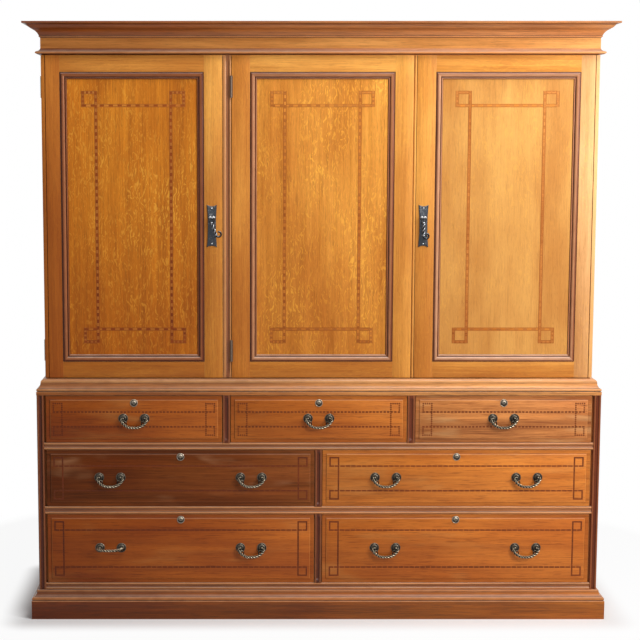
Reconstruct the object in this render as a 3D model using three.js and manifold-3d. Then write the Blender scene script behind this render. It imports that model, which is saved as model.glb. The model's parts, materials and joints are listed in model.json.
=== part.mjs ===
// A linen press: a three-door panelled cupboard standing on a chest of seven drawers.
// Millimetres, +Z up, the front towards -Y. The origin is on the floor under the middle of the
// press. While the pieces are made, y = 0 is the plane of the back and x = 0 the middle.
import * as THREE from 'three';
import { mergeVertices } from 'three/addons/utils/BufferGeometryUtils.js';
import Module from 'manifold-3d';

const wasm = await Module();
wasm.setup();

// Gaps and cuts
const seatGap = 0.3; // between pieces that rest against each other
const workingGap = 2; // round the doors and beside and above the drawers
const cutOverrun = 1; // how far a cutter runs past what it cuts, and a joined piece runs in
const weldDistance = 1e-4;

// Heights, from the floor up
const plinthFaceHeight = 69;
const baseMouldingHeight = 33;
const bottomBoardThickness = 24;
const bottomRowHeight = 252;
const lowerRailThickness = 26;
const middleRowHeight = 206;
const upperRailThickness = 24;
const topRowHeight = 170;
const waistHeight = 56;
const doorSill = 3; // from the waist moulding up to the doors
const doorHeight = 1125;
const astragalHeight = 18;
const friezeHeight = 39;
const corniceHeight = 53;

// Widths
const lowerCaseWidth = 1990;
const upperCaseInset = 29; // how far each side of the cupboard stands in from the chest's
const leftDoorWidth = 627;
const fixedStripWidth = 28;
const middleDoorWidth = 631;

// Depths, from the back
const lowerCaseDepth = 600;
const doorSetback = 30; // from the face of the drawers back to the face of the doors
const doorThickness = 24;

// Mouldings, with how far each stands out from the case below or above it
const plinthProjection = 25;
const waistProjection = 2;
const waistSetback = 17; // the top edge of the waist moulding, behind the face of the drawers
const corniceProjection = 57;
const astragalProjection = 12;

// Boards
const lowerSideThickness = 30;
const cornerStripWidth = 24; // the moulded front edge of each lower side
const cornerRebateDepth = 14; // behind that edge the side thickens to guide the drawers
const upperSideThickness = 24;
const backThickness = 12;
const upperBoardThickness = 20;
const partitionThickness = 24;
const shelfThickness = 20;
const shelfSetback = 24;
const shelvesPerSide = 2;
const plinthSeatWidth = 20; // how much of the plinth lies under the case
const waistSeatWidth = 26;
const waistTopThickness = 20;
const corniceSeatWidth = 20;

// Drawers
const shortDividerWidth = 26; // between the three drawers of the top row
const longDividerWidth = 24; // between the pairs of long drawers
const drawerFrontThickness = 22;
const drawerBorderWidth = 13;
const drawerBorderDepth = 3;
const drawerFootGap = 1; // under a drawer's front
const drawerSideThickness = 12;
const drawerBottomThickness = 8;
const drawerTrayClearance = 1; // the tray is this much narrower than its front at each side
const drawerTrayDrop = 12; // and this much lower at its top
const drawerBackClearance = 22;

// Doors
const stileWidth = 64;
const closingStileWidth = 75; // the right door's beaded stile, which meets the middle door
const railWidth = 57;
const panelMouldingWidth = 25;
const panelMouldingProud = 4;
const panelRecess = 6;

// Hinges
const hingeHeight = 75;
const hingeFootInset = 58; // from a door's foot to its lower hinge
const hingeHeadInset = 70; // from a door's head to its upper hinge
const knuckleRadius = 5;
const knuckleProud = 1; // the middle door's knuckles stand this much in front of the doors
const knuckleOverhang = 0.5; // the outer doors' knuckles lie this much outside the case
const leafWidth = 23;

// Drawer handles: a rope bail between two domed rosettes
const rosetteRadius = 17;
const rosetteHeight = 6.5;
const handleCentres = 76;
const handleRise = 3; // above the middle of the drawer
const longDrawerHandleOffset = 250;
const postRadius = 3;
const eyeReach = 12; // from the wood or plate to the pivot
const eyeRadius = 5.5;
const eyeBoreRadius = 2.5;
const eyeWidth = 6;
const pinRadius = 2.1;
const ropeRadius = 3.2;
const bailDrop = 34;

// Door handles: a twisted drop in a stirrup on a splayed plate
const plateHeight = 148;
const plateEndWidth = 35;
const plateWaistWidth = 28;
const plateEndSag = 5;
const plateThickness = 3;
const plateInset = 37; // from the closing edge to the middle of the plate
const plateAboveDoorFoot = 536;
const pivotAbovePlateMiddle = 27;
const stirrupWidth = 19;
const stirrupHeight = 17;
const shankRadius = 3;
const dropLength = 73;
const dropRingRadius = 9;
const leftDropLean = THREE.MathUtils.degToRad(20);

// Smoothness
const ringSegments = 10;
const rosetteSegments = 12;
const ropeSides = 6;
const bailSteps = 14;
const dropSteps = 22;
const plateCurveSegments = 4;

// Levels worked out from the heights
const plinthTop = plinthFaceHeight + baseMouldingHeight;
const bottomRowFloor = plinthTop + bottomBoardThickness;
const bottomRowTop = bottomRowFloor + bottomRowHeight;
const middleRowFloor = bottomRowTop + lowerRailThickness;
const middleRowTop = middleRowFloor + middleRowHeight;
const topRowFloor = middleRowTop + upperRailThickness;
const topRowTop = topRowFloor + topRowHeight;
const waistTop = topRowTop + waistHeight;
const doorFoot = waistTop + doorSill;
const doorHead = doorFoot + doorHeight;
const corniceFoot = doorHead + workingGap;

// Widths and depths worked out from the sizes
const lowerHalf = lowerCaseWidth / 2;
const upperHalf = lowerHalf - upperCaseInset;
const upperCaseDepth = lowerCaseDepth - doorSetback;
const drawerSpace = lowerHalf - lowerSideThickness;
const carcaseDepth = upperCaseDepth - doorThickness - workingGap;
const behindBoards = backThickness + seatGap;
const leftDoorEnd = -upperHalf + leftDoorWidth;
const stripLeft = leftDoorEnd + workingGap;
const stripRight = stripLeft + fixedStripWidth;
const middleDoorStart = stripRight + workingGap;
const middleDoorEnd = middleDoorStart + middleDoorWidth;
const rightDoorStart = middleDoorEnd + workingGap;
const panelFace = upperCaseDepth - panelRecess;
const pinReach = handleCentres / 2 + eyeWidth / 2 + seatGap + ropeRadius; // to the rope's middle
const ropeFlat = ropeRadius * Math.cos(Math.PI / ropeSides); // to the flats of the rope's section
const frontReach = lowerCaseDepth + eyeReach + bailDrop + ropeFlat; // of the raised bail

const colours = {
  doorOak: { color: 0xc9863f, roughness: 0.45, metalness: 0 },
  drawerWood: { color: 0x8f5230, roughness: 0.45, metalness: 0 },
  mouldedWood: { color: 0x6e4330, roughness: 0.4, metalness: 0 },
  caseWood: { color: 0x8a5a34, roughness: 0.6, metalness: 0 },
  innerWood: { color: 0xb08a5e, roughness: 0.7, metalness: 0 },
  handleIron: { color: 0x35322f, roughness: 0.45, metalness: 0.85 },
  hingeSteel: { color: 0x8d8b86, roughness: 0.4, metalness: 0.9 },
};
const materials = {};
for (const [name, look] of Object.entries(colours)) {
  materials[name] = new THREE.MeshStandardMaterial(look);
}

const press = new THREE.Group();

// Adds one named piece to the press.
function addPiece(name, geometry, material) {
  const mesh = new THREE.Mesh(geometry, material);
  mesh.name = name;
  press.add(mesh);
  return mesh;
}

// Turns a closed geometry into a solid that can be joined and cut.
function toSolid(geometry) {
  const bare = geometry.clone();
  bare.deleteAttribute('normal');
  bare.deleteAttribute('uv');
  const welded = mergeVertices(bare, weldDistance);
  const corners = welded.index.array;
  const kept = [];
  for (let i = 0; i < corners.length; i += 3) {
    const [a, b, c] = [corners[i], corners[i + 1], corners[i + 2]];
    if (a !== b && b !== c && c !== a) kept.push(a, b, c);
  }
  return new wasm.Manifold(new wasm.Mesh({
    numProp: 3,
    vertProperties: welded.attributes.position.array,
    triVerts: Uint32Array.from(kept),
  }));
}

// Turns a solid back into a geometry.
function toGeometry(solid) {
  const mesh = solid.getMesh();
  const geometry = new THREE.BufferGeometry();
  geometry.setAttribute('position', new THREE.BufferAttribute(mesh.vertProperties, 3));
  geometry.setIndex(new THREE.BufferAttribute(mesh.triVerts, 1));
  geometry.computeVertexNormals();
  return geometry;
}

function join(geometries) {
  const [first, ...rest] = geometries.map(toSolid);
  return toGeometry(rest.reduce((whole, next) => whole.add(next), first));
}

function cut(geometry, cutters) {
  const whole = toSolid(geometry);
  return toGeometry(cutters.map(toSolid).reduce((left, next) => left.subtract(next), whole));
}

// A box between two values on each axis.
function block(x, y, z) {
  const geometry = new THREE.BoxGeometry(x[1] - x[0], y[1] - y[0], z[1] - z[0]);
  return geometry.translate((x[0] + x[1]) / 2, (y[0] + y[1]) / 2, (z[0] + z[1]) / 2);
}

// Skins a run of four-cornered loops. A closed run makes a frame, an open one gets end faces.
function skin(loops, closed) {
  const positions = loops.flat(2);
  const index = [];
  const sides = loops[0].length;
  const spans = closed ? loops.length : loops.length - 1;
  for (let i = 0; i < spans; i += 1) {
    const near = i * sides;
    const far = ((i + 1) % loops.length) * sides;
    for (let j = 0; j < sides; j += 1) {
      const next = (j + 1) % sides;
      index.push(near + j, near + next, far + next, near + j, far + next, far + j);
    }
  }
  if (!closed) {
    const last = (loops.length - 1) * sides;
    index.push(0, 2, 1, 0, 3, 2, last, last + 1, last + 2, last, last + 2, last + 3);
  }
  const geometry = new THREE.BufferGeometry();
  geometry.setAttribute('position', new THREE.Float32BufferAttribute(positions, 3));
  geometry.setIndex(index);
  geometry.computeVertexNormals();
  return geometry;
}

// A level loop round a case, standing out at the front and the sides but not at the back.
function levelLoop(half, depth, projection, z) {
  const x = half + projection;
  const y = -(depth + projection);
  return [[-x, 0, z], [-x, y, z], [x, y, z], [x, 0, z]];
}

// A block with moulded front and sides, from [projection, height] pairs that run upwards.
function mouldedBlock(half, depth, profile) {
  return skin(profile.map(([projection, z]) => levelLoop(half, depth, projection, z)), false);
}

// An upright loop that lies in a plane facing the front.
function uprightLoop(edges, inset, depth) {
  const [left, right] = [edges.left + inset, edges.right - inset];
  const [bottom, top] = [edges.bottom + inset, edges.top - inset];
  const corners = [[left, bottom], [right, bottom], [right, top], [left, top]];
  return corners.map(([x, z]) => [x, -depth, z]);
}

// A round rod between two points.
function rod(radius, from, to) {
  const path = new THREE.LineCurve3(new THREE.Vector3(...from), new THREE.Vector3(...to));
  return new THREE.ExtrudeGeometry(circle(radius), {
    steps: 1, extrudePath: path, curveSegments: ropeSides / 2,
  });
}

function circle(radius) {
  return new THREE.Shape().absarc(0, 0, radius, 0, 2 * Math.PI);
}

// The stem and eye that carry a bail or a drop, with the wood or plate behind at y = 0.
function pivotPost(footDepth) {
  const ring = circle(eyeRadius);
  ring.holes.push(new THREE.Path().absarc(0, 0, eyeBoreRadius, 0, 2 * Math.PI, true));
  const eye = new THREE.ExtrudeGeometry(ring, {
    depth: eyeWidth, bevelEnabled: false, curveSegments: ringSegments / 2,
  });
  eye.translate(0, 0, -eyeWidth / 2).rotateY(Math.PI / 2).translate(0, -eyeReach, 0);
  const wall = (eyeRadius - eyeBoreRadius) / 2;
  const stem = rod(postRadius, [0, footDepth, 0], [0, -eyeReach + eyeBoreRadius + wall, 0]);
  return [stem, eye];
}

// A domed rosette with its post, on the wood at y = 0.
function rosette() {
  const domeShares = [[1, 0.15], [0.92, 0.45], [0.6, 0.85], [0.25, 1]];
  const outline = [new THREE.Vector2(0, -cutOverrun), new THREE.Vector2(rosetteRadius, -cutOverrun)];
  for (const [radiusShare, heightShare] of domeShares) {
    outline.push(new THREE.Vector2(rosetteRadius * radiusShare, rosetteHeight * heightShare));
  }
  outline.push(new THREE.Vector2(0, rosetteHeight));
  const dome = new THREE.LatheGeometry(outline, rosetteSegments).rotateX(Math.PI);
  return [dome, ...pivotPost(0)];
}

// A bail that hangs from the two eyes, with its pivot at the origin.
function bail() {
  const ropeShares = [[1, 0.1], [1, -0.2], [0.8, -0.62], [0.42, -0.94], [0, -1]];
  const at = (across, up) => new THREE.Vector3(across * pinReach, 0, up * bailDrop);
  const leftHalf = ropeShares.map(([across, up]) => at(-across, up));
  const rightHalf = ropeShares.slice(0, -1).reverse().map(([across, up]) => at(across, up));
  const path = new THREE.CatmullRomCurve3([...leftHalf, ...rightHalf]);
  const rope = new THREE.ExtrudeGeometry(circle(ropeRadius), {
    steps: bailSteps, extrudePath: path, curveSegments: ropeSides / 2,
  });
  const pinEnd = handleCentres / 2 - eyeWidth / 2;
  const pins = [-1, 1].map((side) => rod(pinRadius, [side * pinEnd, 0, 0], [side * pinReach, 0, 0]));
  return join([rope, ...pins]);
}

// A door's drop: a stirrup through the eye, and below it a shank with a curled end that may lean.
function drop(lean) {
  const half = stirrupWidth / 2;
  const bar = rod(pinRadius, [-half, 0, 0], [half, 0, 0]);
  const arms = [-half, half].map((x) => rod(pinRadius, [x, 0, pinRadius / 2], [0, 0, -stirrupHeight]));
  const shankLength = dropLength - stirrupHeight - dropRingRadius - shankRadius;
  const points = [new THREE.Vector3(0, 0, shankRadius), new THREE.Vector3(0, 0, -shankLength)];
  const curlStops = 5;
  const curlTurn = 1.5 * Math.PI;
  for (let stop = 1; stop <= curlStops; stop += 1) {
    const angle = Math.PI + (curlTurn * stop) / curlStops;
    const across = dropRingRadius * (1 + Math.cos(angle));
    points.push(new THREE.Vector3(across, 0, -shankLength + dropRingRadius * Math.sin(angle)));
  }
  const shank = new THREE.ExtrudeGeometry(circle(shankRadius), {
    steps: dropSteps, extrudePath: new THREE.CatmullRomCurve3(points), curveSegments: ropeSides / 2,
  });
  shank.rotateY(-lean).translate(0, 0, -stirrupHeight);
  return join([bar, ...arms, shank]);
}

// The splayed plate behind a drop, with its post. Its middle is at the origin.
function handlePlate() {
  const [endX, waistX, endZ] = [plateEndWidth / 2, plateWaistWidth / 2, plateHeight / 2];
  const waistPull = 2 * waistX - endX;
  const outline = new THREE.Shape();
  outline.moveTo(-endX, endZ);
  outline.quadraticCurveTo(-waistPull, 0, -endX, -endZ);
  outline.quadraticCurveTo(0, -endZ + 2 * plateEndSag, endX, -endZ);
  outline.quadraticCurveTo(waistPull, 0, endX, endZ);
  outline.quadraticCurveTo(0, endZ - 2 * plateEndSag, -endX, endZ);
  const plate = new THREE.ExtrudeGeometry(outline, {
    depth: plateThickness, bevelEnabled: false, curveSegments: plateCurveSegments,
  });
  plate.rotateX(Math.PI / 2);
  const post = pivotPost(cutOverrun);
  return join([plate, ...post.map((piece) => piece.translate(0, -plateThickness, pivotAbovePlateMiddle))]);
}

// The plinth: a moulded frame of boards, open below and closed above by the bottom board.
function addPlinth() {
  const mouldingShares = [
    [1, 0.06], [0.76, 0.1], [0.8, 0.24], [0.98, 0.42], [0.94, 0.56], [0.6, 0.72], [0.32, 0.84],
    [0.28, 0.88], [0.16, 1],
  ];
  const profile = [[plinthProjection, 0]];
  for (const [outShare, upShare] of mouldingShares) {
    profile.push([plinthProjection * outShare, plinthFaceHeight + baseMouldingHeight * upShare]);
  }
  const inner = lowerHalf - plinthSeatWidth;
  const hollow = block([-inner, inner], [-lowerCaseDepth + plinthSeatWidth, -plinthSeatWidth],
    [-cutOverrun, plinthTop + cutOverrun]);
  const frame = cut(mouldedBlock(lowerHalf, lowerCaseDepth, profile), [hollow]);
  addPiece('plinth', frame, materials.mouldedWood);
}

// The sides of the chest. The front edge of each is a moulded strip, rebated behind it.
function addLowerSides() {
  const z = [plinthTop + seatGap, topRowTop - seatGap];
  for (const [name, side] of [['lower_side_left', -1], ['lower_side_right', 1]]) {
    const outer = side * lowerHalf;
    const inner = side * drawerSpace;
    const stripEdge = side * (lowerHalf - cornerStripWidth);
    const board = block(ordered(outer, inner), [-lowerCaseDepth, 0], z);
    const rebate = block(ordered(stripEdge, inner - side * cutOverrun),
      [-lowerCaseDepth - cutOverrun, -lowerCaseDepth + cornerRebateDepth],
      [z[0] - cutOverrun, z[1] + cutOverrun]);
    addPiece(name, cut(board, [rebate]), materials.mouldedWood);
  }
}

function ordered(a, b) {
  return a < b ? [a, b] : [b, a];
}

// The openings of one row of drawers, left to right, each as [left, right].
function rowOpenings(row) {
  const count = row.sides.length;
  const width = (2 * drawerSpace - (count - 1) * row.dividerWidth) / count;
  return row.sides.map((_, i) => {
    const left = -drawerSpace + i * (width + row.dividerWidth);
    return [left, left + width];
  });
}

const rows = [
  {
    name: 'bottom', board: 'bottom_board', boardFoot: plinthTop + seatGap, floor: bottomRowFloor,
    height: bottomRowHeight, dividerWidth: longDividerWidth, sides: ['left', 'right'],
    handles: [['left', -longDrawerHandleOffset], ['right', longDrawerHandleOffset]],
  },
  {
    name: 'middle', board: 'lower_rail_board', boardFoot: bottomRowTop, floor: middleRowFloor,
    height: middleRowHeight, dividerWidth: longDividerWidth, sides: ['left', 'right'],
    handles: [['left', -longDrawerHandleOffset], ['right', longDrawerHandleOffset]],
  },
  {
    name: 'top', board: 'upper_rail_board', boardFoot: middleRowTop, floor: topRowFloor,
    height: topRowHeight, dividerWidth: shortDividerWidth, sides: ['left', 'middle', 'right'],
    handles: [['', 0]],
  },
];

// The board under a row of drawers, whose front edge is a rail, with the dividers standing on it.
function addRowBoard(row) {
  const y = [-lowerCaseDepth, -behindBoards];
  const z = [row.boardFoot, row.floor];
  const half = drawerSpace - seatGap;
  const railHalf = lowerHalf - cornerStripWidth - seatGap;
  const pieces = [
    block([-half, half], y, z),
    block([-railHalf, railHalf], [-lowerCaseDepth, -lowerCaseDepth + cornerRebateDepth - seatGap], z),
  ];
  const openings = rowOpenings(row);
  for (let i = 1; i < openings.length; i += 1) {
    const x = [openings[i - 1][1], openings[i][0]];
    pieces.push(block(x, y, [row.floor - cutOverrun, row.floor + row.height - seatGap]));
  }
  addPiece(row.board, join(pieces), materials.mouldedWood);
}

// One bail is lifted towards the front; the others hang.
const raisedBail = 'bottom_left_drawer_bail_left';

// The front of one drawer with its rosettes, and the tray behind it.
function addDrawer(row, side, opening) {
  const name = `${row.name}_${side}_drawer`;
  const edges = {
    left: opening[0] + workingGap,
    right: opening[1] - workingGap,
    bottom: row.floor + drawerFootGap,
    top: row.floor + row.height - workingGap,
  };
  const border = lowerCaseDepth - drawerBorderDepth;
  const slab = skin([
    uprightLoop(edges, 0, lowerCaseDepth - drawerFrontThickness),
    uprightLoop(edges, 0, border),
    uprightLoop(edges, drawerBorderWidth, border),
    uprightLoop(edges, drawerBorderWidth + drawerBorderDepth, lowerCaseDepth),
  ], false);
  const middle = (opening[0] + opening[1]) / 2;
  const handleZ = row.floor + row.height / 2 + handleRise;
  const rosettes = [];
  for (const [handle, offset] of row.handles) {
    for (const end of [-1, 1]) {
      const x = middle + offset + (end * handleCentres) / 2;
      rosettes.push(...rosette().map((piece) => piece.translate(x, -lowerCaseDepth, handleZ)));
    }
    const bailName = [name, 'bail', handle].filter((word) => word !== '').join('_');
    const piece = addPiece(bailName, bail(), materials.handleIron);
    piece.position.set(middle + offset, -lowerCaseDepth - eyeReach, handleZ);
    if (bailName === raisedBail) piece.rotation.x = -Math.PI / 2;
  }
  addPiece(`${name}_front`, join([slab, ...rosettes]), materials.drawerWood);

  const x = [edges.left + drawerTrayClearance, edges.right - drawerTrayClearance];
  const y = [-lowerCaseDepth + drawerFrontThickness + seatGap, -behindBoards - drawerBackClearance];
  const z = [row.floor + seatGap, edges.top - drawerTrayDrop];
  const hollow = block([x[0] + drawerSideThickness, x[1] - drawerSideThickness],
    [y[0] - cutOverrun, y[1] - drawerSideThickness],
    [z[0] + drawerBottomThickness, z[1] + cutOverrun]);
  addPiece(`${name}_tray`, cut(block(x, y, z), [hollow]), materials.innerWood);
}

function addDrawers() {
  for (const row of rows) {
    addRowBoard(row);
    rowOpenings(row).forEach((opening, i) => addDrawer(row, row.sides[i], opening));
  }
}

function addLowerBack() {
  const half = drawerSpace - seatGap;
  const z = [plinthTop + seatGap, topRowTop - seatGap];
  addPiece('lower_back', block([-half, half], [-backThickness, 0], z), materials.innerWood);
}

// The moulded waist frame with the chest's top board, hollow underneath.
function addWaist() {
  const foot = topRowTop;
  const profileShares = [
    [1, 0], [1, 0.24], [-0.35, 0.28], [-0.1, 0.36], [-0.1, 0.48], [-0.35, 0.58], [-0.62, 0.62],
    [-0.8, 0.72], [-1, 0.8], [-1, 1],
  ];
  const profile = profileShares.map(([outShare, upShare]) => [
    outShare > 0 ? waistProjection * outShare : waistSetback * outShare,
    foot + waistHeight * upShare,
  ]);
  const inner = lowerHalf - waistSeatWidth;
  const hollow = block([-inner, inner], [-lowerCaseDepth + waistSeatWidth, -behindBoards],
    [foot - cutOverrun, waistTop - waistTopThickness]);
  const frame = cut(mouldedBlock(lowerHalf, lowerCaseDepth, profile), [hollow]);
  addPiece('waist_frame', frame, materials.mouldedWood);
}

// The hinge axes: the outer doors turn beside the case, the middle door in front of the strip.
const outerHingeX = upperHalf + knuckleOverhang;
const outerHingeDepth = carcaseDepth + workingGap / 2;
const middleHingeX = stripRight + workingGap / 2;
const middleHingeDepth = upperCaseDepth + knuckleProud;
const hingeHeights = [
  ['lower', doorFoot + hingeFootInset + hingeHeight / 2],
  ['upper', doorHead - hingeHeadInset - hingeHeight / 2],
];

// Room for the knuckles in what stands beside a hinge's axis.
function knuckleNotches(x, depth) {
  const room = knuckleRadius + seatGap;
  return hingeHeights.map(([, z]) => block([x - room, x + room], [-depth - room, -depth + room],
    [z - hingeHeight / 2 - seatGap, z + hingeHeight / 2 + seatGap]));
}

// A knuckle with the leaf that is screwed to the case. It lies in the gap beside the door.
function addHinges() {
  const half = (workingGap - 2 * seatGap) / 2;
  const leaves = [
    ['left', -outerHingeX, outerHingeDepth, [0, leafWidth], [-half, half]],
    ['middle', middleHingeX, middleHingeDepth, [-half, half], [0, leafWidth]],
    ['right', outerHingeX, outerHingeDepth, [-leafWidth, 0], [-half, half]],
  ];
  for (const [door, x, depth, leafX, leafY] of leaves) {
    for (const [level, z] of hingeHeights) {
      const knuckle = new THREE.CylinderGeometry(knuckleRadius, knuckleRadius, hingeHeight, ringSegments);
      const leaf = block(leafX, leafY, [-hingeHeight / 2, hingeHeight / 2]);
      const hinge = join([knuckle.rotateX(Math.PI / 2), leaf]);
      addPiece(`${door}_door_hinge_${level}`, hinge, materials.hingeSteel).position.set(x, -depth, z);
    }
  }
}

// The cupboard's boards.
function addUpperCase() {
  const foot = waistTop + seatGap;
  const head = corniceFoot - seatGap;
  const inner = upperHalf - upperSideThickness;
  for (const [name, side] of [['upper_side_left', -1], ['upper_side_right', 1]]) {
    const board = block(ordered(side * inner, side * upperHalf), [-carcaseDepth, 0], [foot, head]);
    const notched = cut(board, knuckleNotches(side * outerHingeX, outerHingeDepth));
    addPiece(name, notched, materials.caseWood);
  }
  const half = inner - seatGap;
  addPiece('upper_back', block([-half, half], [-backThickness, 0], [foot, head]), materials.innerWood);
  const y = [-carcaseDepth + seatGap, -behindBoards];
  const floorTop = foot + upperBoardThickness;
  const ceiling = head - upperBoardThickness;
  addPiece('upper_bottom', block([-half, half], y, [foot, floorTop]), materials.innerWood);
  addPiece('upper_top', block([-half, half], y, [ceiling, head]), materials.innerWood);
  addPartition(floorTop + seatGap, ceiling - seatGap);
  addShelves(floorTop, ceiling, half);
}

const stripMiddle = (stripLeft + stripRight) / 2;

// The upright between the left cupboard and the right one, with the fixed strip on its front.
function addPartition(foot, head) {
  const half = partitionThickness / 2;
  const board = block([stripMiddle - half, stripMiddle + half],
    [-carcaseDepth - cutOverrun, -behindBoards], [foot, head]);
  const strip = block([stripLeft, stripRight], [-upperCaseDepth, -carcaseDepth], [doorFoot, doorHead]);
  const notched = cut(join([board, strip]), knuckleNotches(middleHingeX, middleHingeDepth));
  addPiece('upper_partition', notched, materials.mouldedWood);
}

function addShelves(floorTop, ceiling, half) {
  const partitionHalf = partitionThickness / 2 + seatGap;
  const spans = [
    ['left', [-half, stripMiddle - partitionHalf]],
    ['right', [stripMiddle + partitionHalf, half]],
  ];
  const pitch = (ceiling - floorTop) / (shelvesPerSide + 1);
  for (const [side, x] of spans) {
    for (let i = 1; i <= shelvesPerSide; i += 1) {
      const middle = floorTop + pitch * i;
      const shelf = block(x, [-carcaseDepth + shelfSetback, -behindBoards],
        [middle - shelfThickness / 2, middle + shelfThickness / 2]);
      addPiece(`${side}_shelf_${i}`, shelf, materials.innerWood);
    }
  }
}

// A door's frame with its panel moulding, and the panel behind that moulding.
function addDoor(name, left, right, leftStile, rightStile, hingeX, hingeDepth) {
  const outer = { left, right, bottom: doorFoot, top: doorHead };
  const sight = {
    left: left + leftStile,
    right: right - rightStile,
    bottom: doorFoot + railWidth,
    top: doorHead - railWidth,
  };
  const back = upperCaseDepth - doorThickness;
  const mouldingBack = panelFace + seatGap;
  const mouldingHeight = panelRecess + panelMouldingProud - seatGap;
  const mouldingShares = [[0.06, 1], [0.28, 1], [0.36, 0.66], [0.8, 0.28], [1, 0.22]];
  const loops = [
    uprightLoop(outer, 0, back), uprightLoop(outer, 0, upperCaseDepth), uprightLoop(sight, 0, upperCaseDepth),
  ];
  for (const [acrossShare, heightShare] of mouldingShares) {
    const depth = mouldingBack + mouldingHeight * heightShare;
    loops.push(uprightLoop(sight, panelMouldingWidth * acrossShare, depth));
  }
  loops.push(uprightLoop(sight, panelMouldingWidth, mouldingBack), uprightLoop(sight, 0, mouldingBack),
    uprightLoop(sight, 0, back));
  const frame = cut(skin(loops, true), knuckleNotches(hingeX, hingeDepth));
  addPiece(`${name}_door_frame`, frame, materials.doorOak);
  const panel = block([sight.left + seatGap, sight.right - seatGap], [-panelFace, -back],
    [sight.bottom + seatGap, sight.top - seatGap]);
  addPiece(`${name}_door_panel`, panel, materials.doorOak);
}

function addDoors() {
  addDoor('left', -upperHalf, leftDoorEnd, stileWidth, stileWidth, -outerHingeX, outerHingeDepth);
  addDoor('middle', middleDoorStart, middleDoorEnd, stileWidth, stileWidth, middleHingeX, middleHingeDepth);
  addDoor('right', rightDoorStart, upperHalf, closingStileWidth, stileWidth, outerHingeX, outerHingeDepth);
}

// The plate and drop on each outer door, near its closing edge.
function addDoorHandles() {
  const z = doorFoot + plateAboveDoorFoot;
  const plateBack = upperCaseDepth + seatGap;
  const handles = [
    ['left', leftDoorEnd - plateInset, leftDropLean],
    ['right', rightDoorStart + plateInset, 0],
  ];
  for (const [side, x, lean] of handles) {
    addPiece(`${side}_door_plate`, handlePlate(), materials.handleIron).position.set(x, -plateBack, z);
    const hanging = addPiece(`${side}_door_drop`, drop(lean), materials.handleIron);
    hanging.position.set(x, -plateBack - plateThickness - eyeReach, z + pivotAbovePlateMiddle);
  }
}

// The cornice, frieze and astragal: one moulded frame, open above.
function addCornice() {
  const astragalShares = [[0, 0], [0.55, 0.1], [1, 0.4], [1, 0.62], [0.55, 0.92], [0.12, 1]];
  const corniceShares = [
    [0.03, 0], [0.12, 0.12], [0.16, 0.2], [0.25, 0.22], [0.27, 0.34], [0.42, 0.5], [0.5, 0.52],
    [0.54, 0.62], [0.72, 0.78], [0.86, 0.87], [1, 0.88], [1, 1],
  ];
  const profile = astragalShares.map(([outShare, upShare]) => [
    astragalProjection * outShare, corniceFoot + astragalHeight * upShare,
  ]);
  const corniceStart = corniceFoot + astragalHeight + friezeHeight;
  for (const [outShare, upShare] of corniceShares) {
    profile.push([corniceProjection * outShare, corniceStart + corniceHeight * upShare]);
  }
  const inner = upperHalf - corniceSeatWidth;
  const hollow = block([-inner, inner], [-carcaseDepth + corniceSeatWidth, -corniceSeatWidth],
    [corniceFoot - cutOverrun, corniceStart + corniceHeight + cutOverrun]);
  const frame = cut(mouldedBlock(upperHalf, upperCaseDepth, profile), [hollow]);
  addPiece('cornice', frame, materials.mouldedWood);
}

addPlinth();
addLowerSides();
addDrawers();
addLowerBack();
addWaist();
addUpperCase();
addHinges();
addDoors();
addDoorHandles();
addCornice();
press.position.y = frontReach / 2;

export default press;
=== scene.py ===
"""A linen press in golden oak, with brown drawers, dark mouldings and iron handles.

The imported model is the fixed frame, and this script dresses it: +Z is up and the front looks
towards -Y. A length written with MM is in metres, as are the frame's own. A plain number in a
section or in a part's sizes is in millimetres.
"""
import functools
import json
import logging
import math
import random
from dataclasses import dataclass, replace
from enum import Enum
from typing import ClassVar, Protocol

import bmesh
import bpy
from mathutils import Matrix, Vector


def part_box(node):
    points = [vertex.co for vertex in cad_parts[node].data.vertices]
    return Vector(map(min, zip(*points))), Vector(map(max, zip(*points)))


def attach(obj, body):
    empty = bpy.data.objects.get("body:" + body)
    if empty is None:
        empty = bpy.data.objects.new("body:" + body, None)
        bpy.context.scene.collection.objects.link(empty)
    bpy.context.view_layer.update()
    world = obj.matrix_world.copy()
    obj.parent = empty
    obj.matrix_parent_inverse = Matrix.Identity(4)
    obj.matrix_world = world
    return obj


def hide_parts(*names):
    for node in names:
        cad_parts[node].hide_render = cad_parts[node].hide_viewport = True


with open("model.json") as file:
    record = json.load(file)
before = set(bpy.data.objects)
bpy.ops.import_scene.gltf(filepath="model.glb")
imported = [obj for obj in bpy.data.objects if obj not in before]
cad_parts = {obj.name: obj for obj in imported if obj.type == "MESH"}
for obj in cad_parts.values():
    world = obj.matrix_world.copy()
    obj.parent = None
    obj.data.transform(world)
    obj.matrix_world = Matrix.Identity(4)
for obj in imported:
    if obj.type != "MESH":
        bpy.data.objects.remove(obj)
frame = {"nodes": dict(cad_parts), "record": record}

log = logging.getLogger("linen_press")

MM = 0.001
WEAR_AND_SHADING = "wear"
GIRTH = "girth"
SEAT_GAP = 0.3 * MM
KNUCKLE_RADIUS = 5 * MM
HINGE_LEVELS = ("lower", "upper")
ARRIS_WEAR_AND_HIGHLIGHT = 0.8
ROPE_STEP = 0.9 * MM

Colour = tuple[float, float, float, float]
Socket = bpy.types.NodeSocket
Material = bpy.types.Material
Point = tuple[float, float]
Stations = list[tuple[Vector, Vector]]

RIGHT = Vector((1, 0, 0))
FORWARD = Vector((0, -1, 0))
UP = Vector((0, 0, 1))


class Grain(Enum):
    """Which way the grain of a board runs, with the turn that lays its figure along Z."""

    UPRIGHT = (0.0, 0.0, 0.0)
    ACROSS = (0.0, math.pi / 2, 0.0)
    DEEP = (math.pi / 2, 0.0, 0.0)


class EdgeForm(Enum):
    """How the long edge of a door's stile is worked."""

    PLAIN = "plain"
    QUIRK = "quirk"
    BEAD = "bead"


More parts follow.
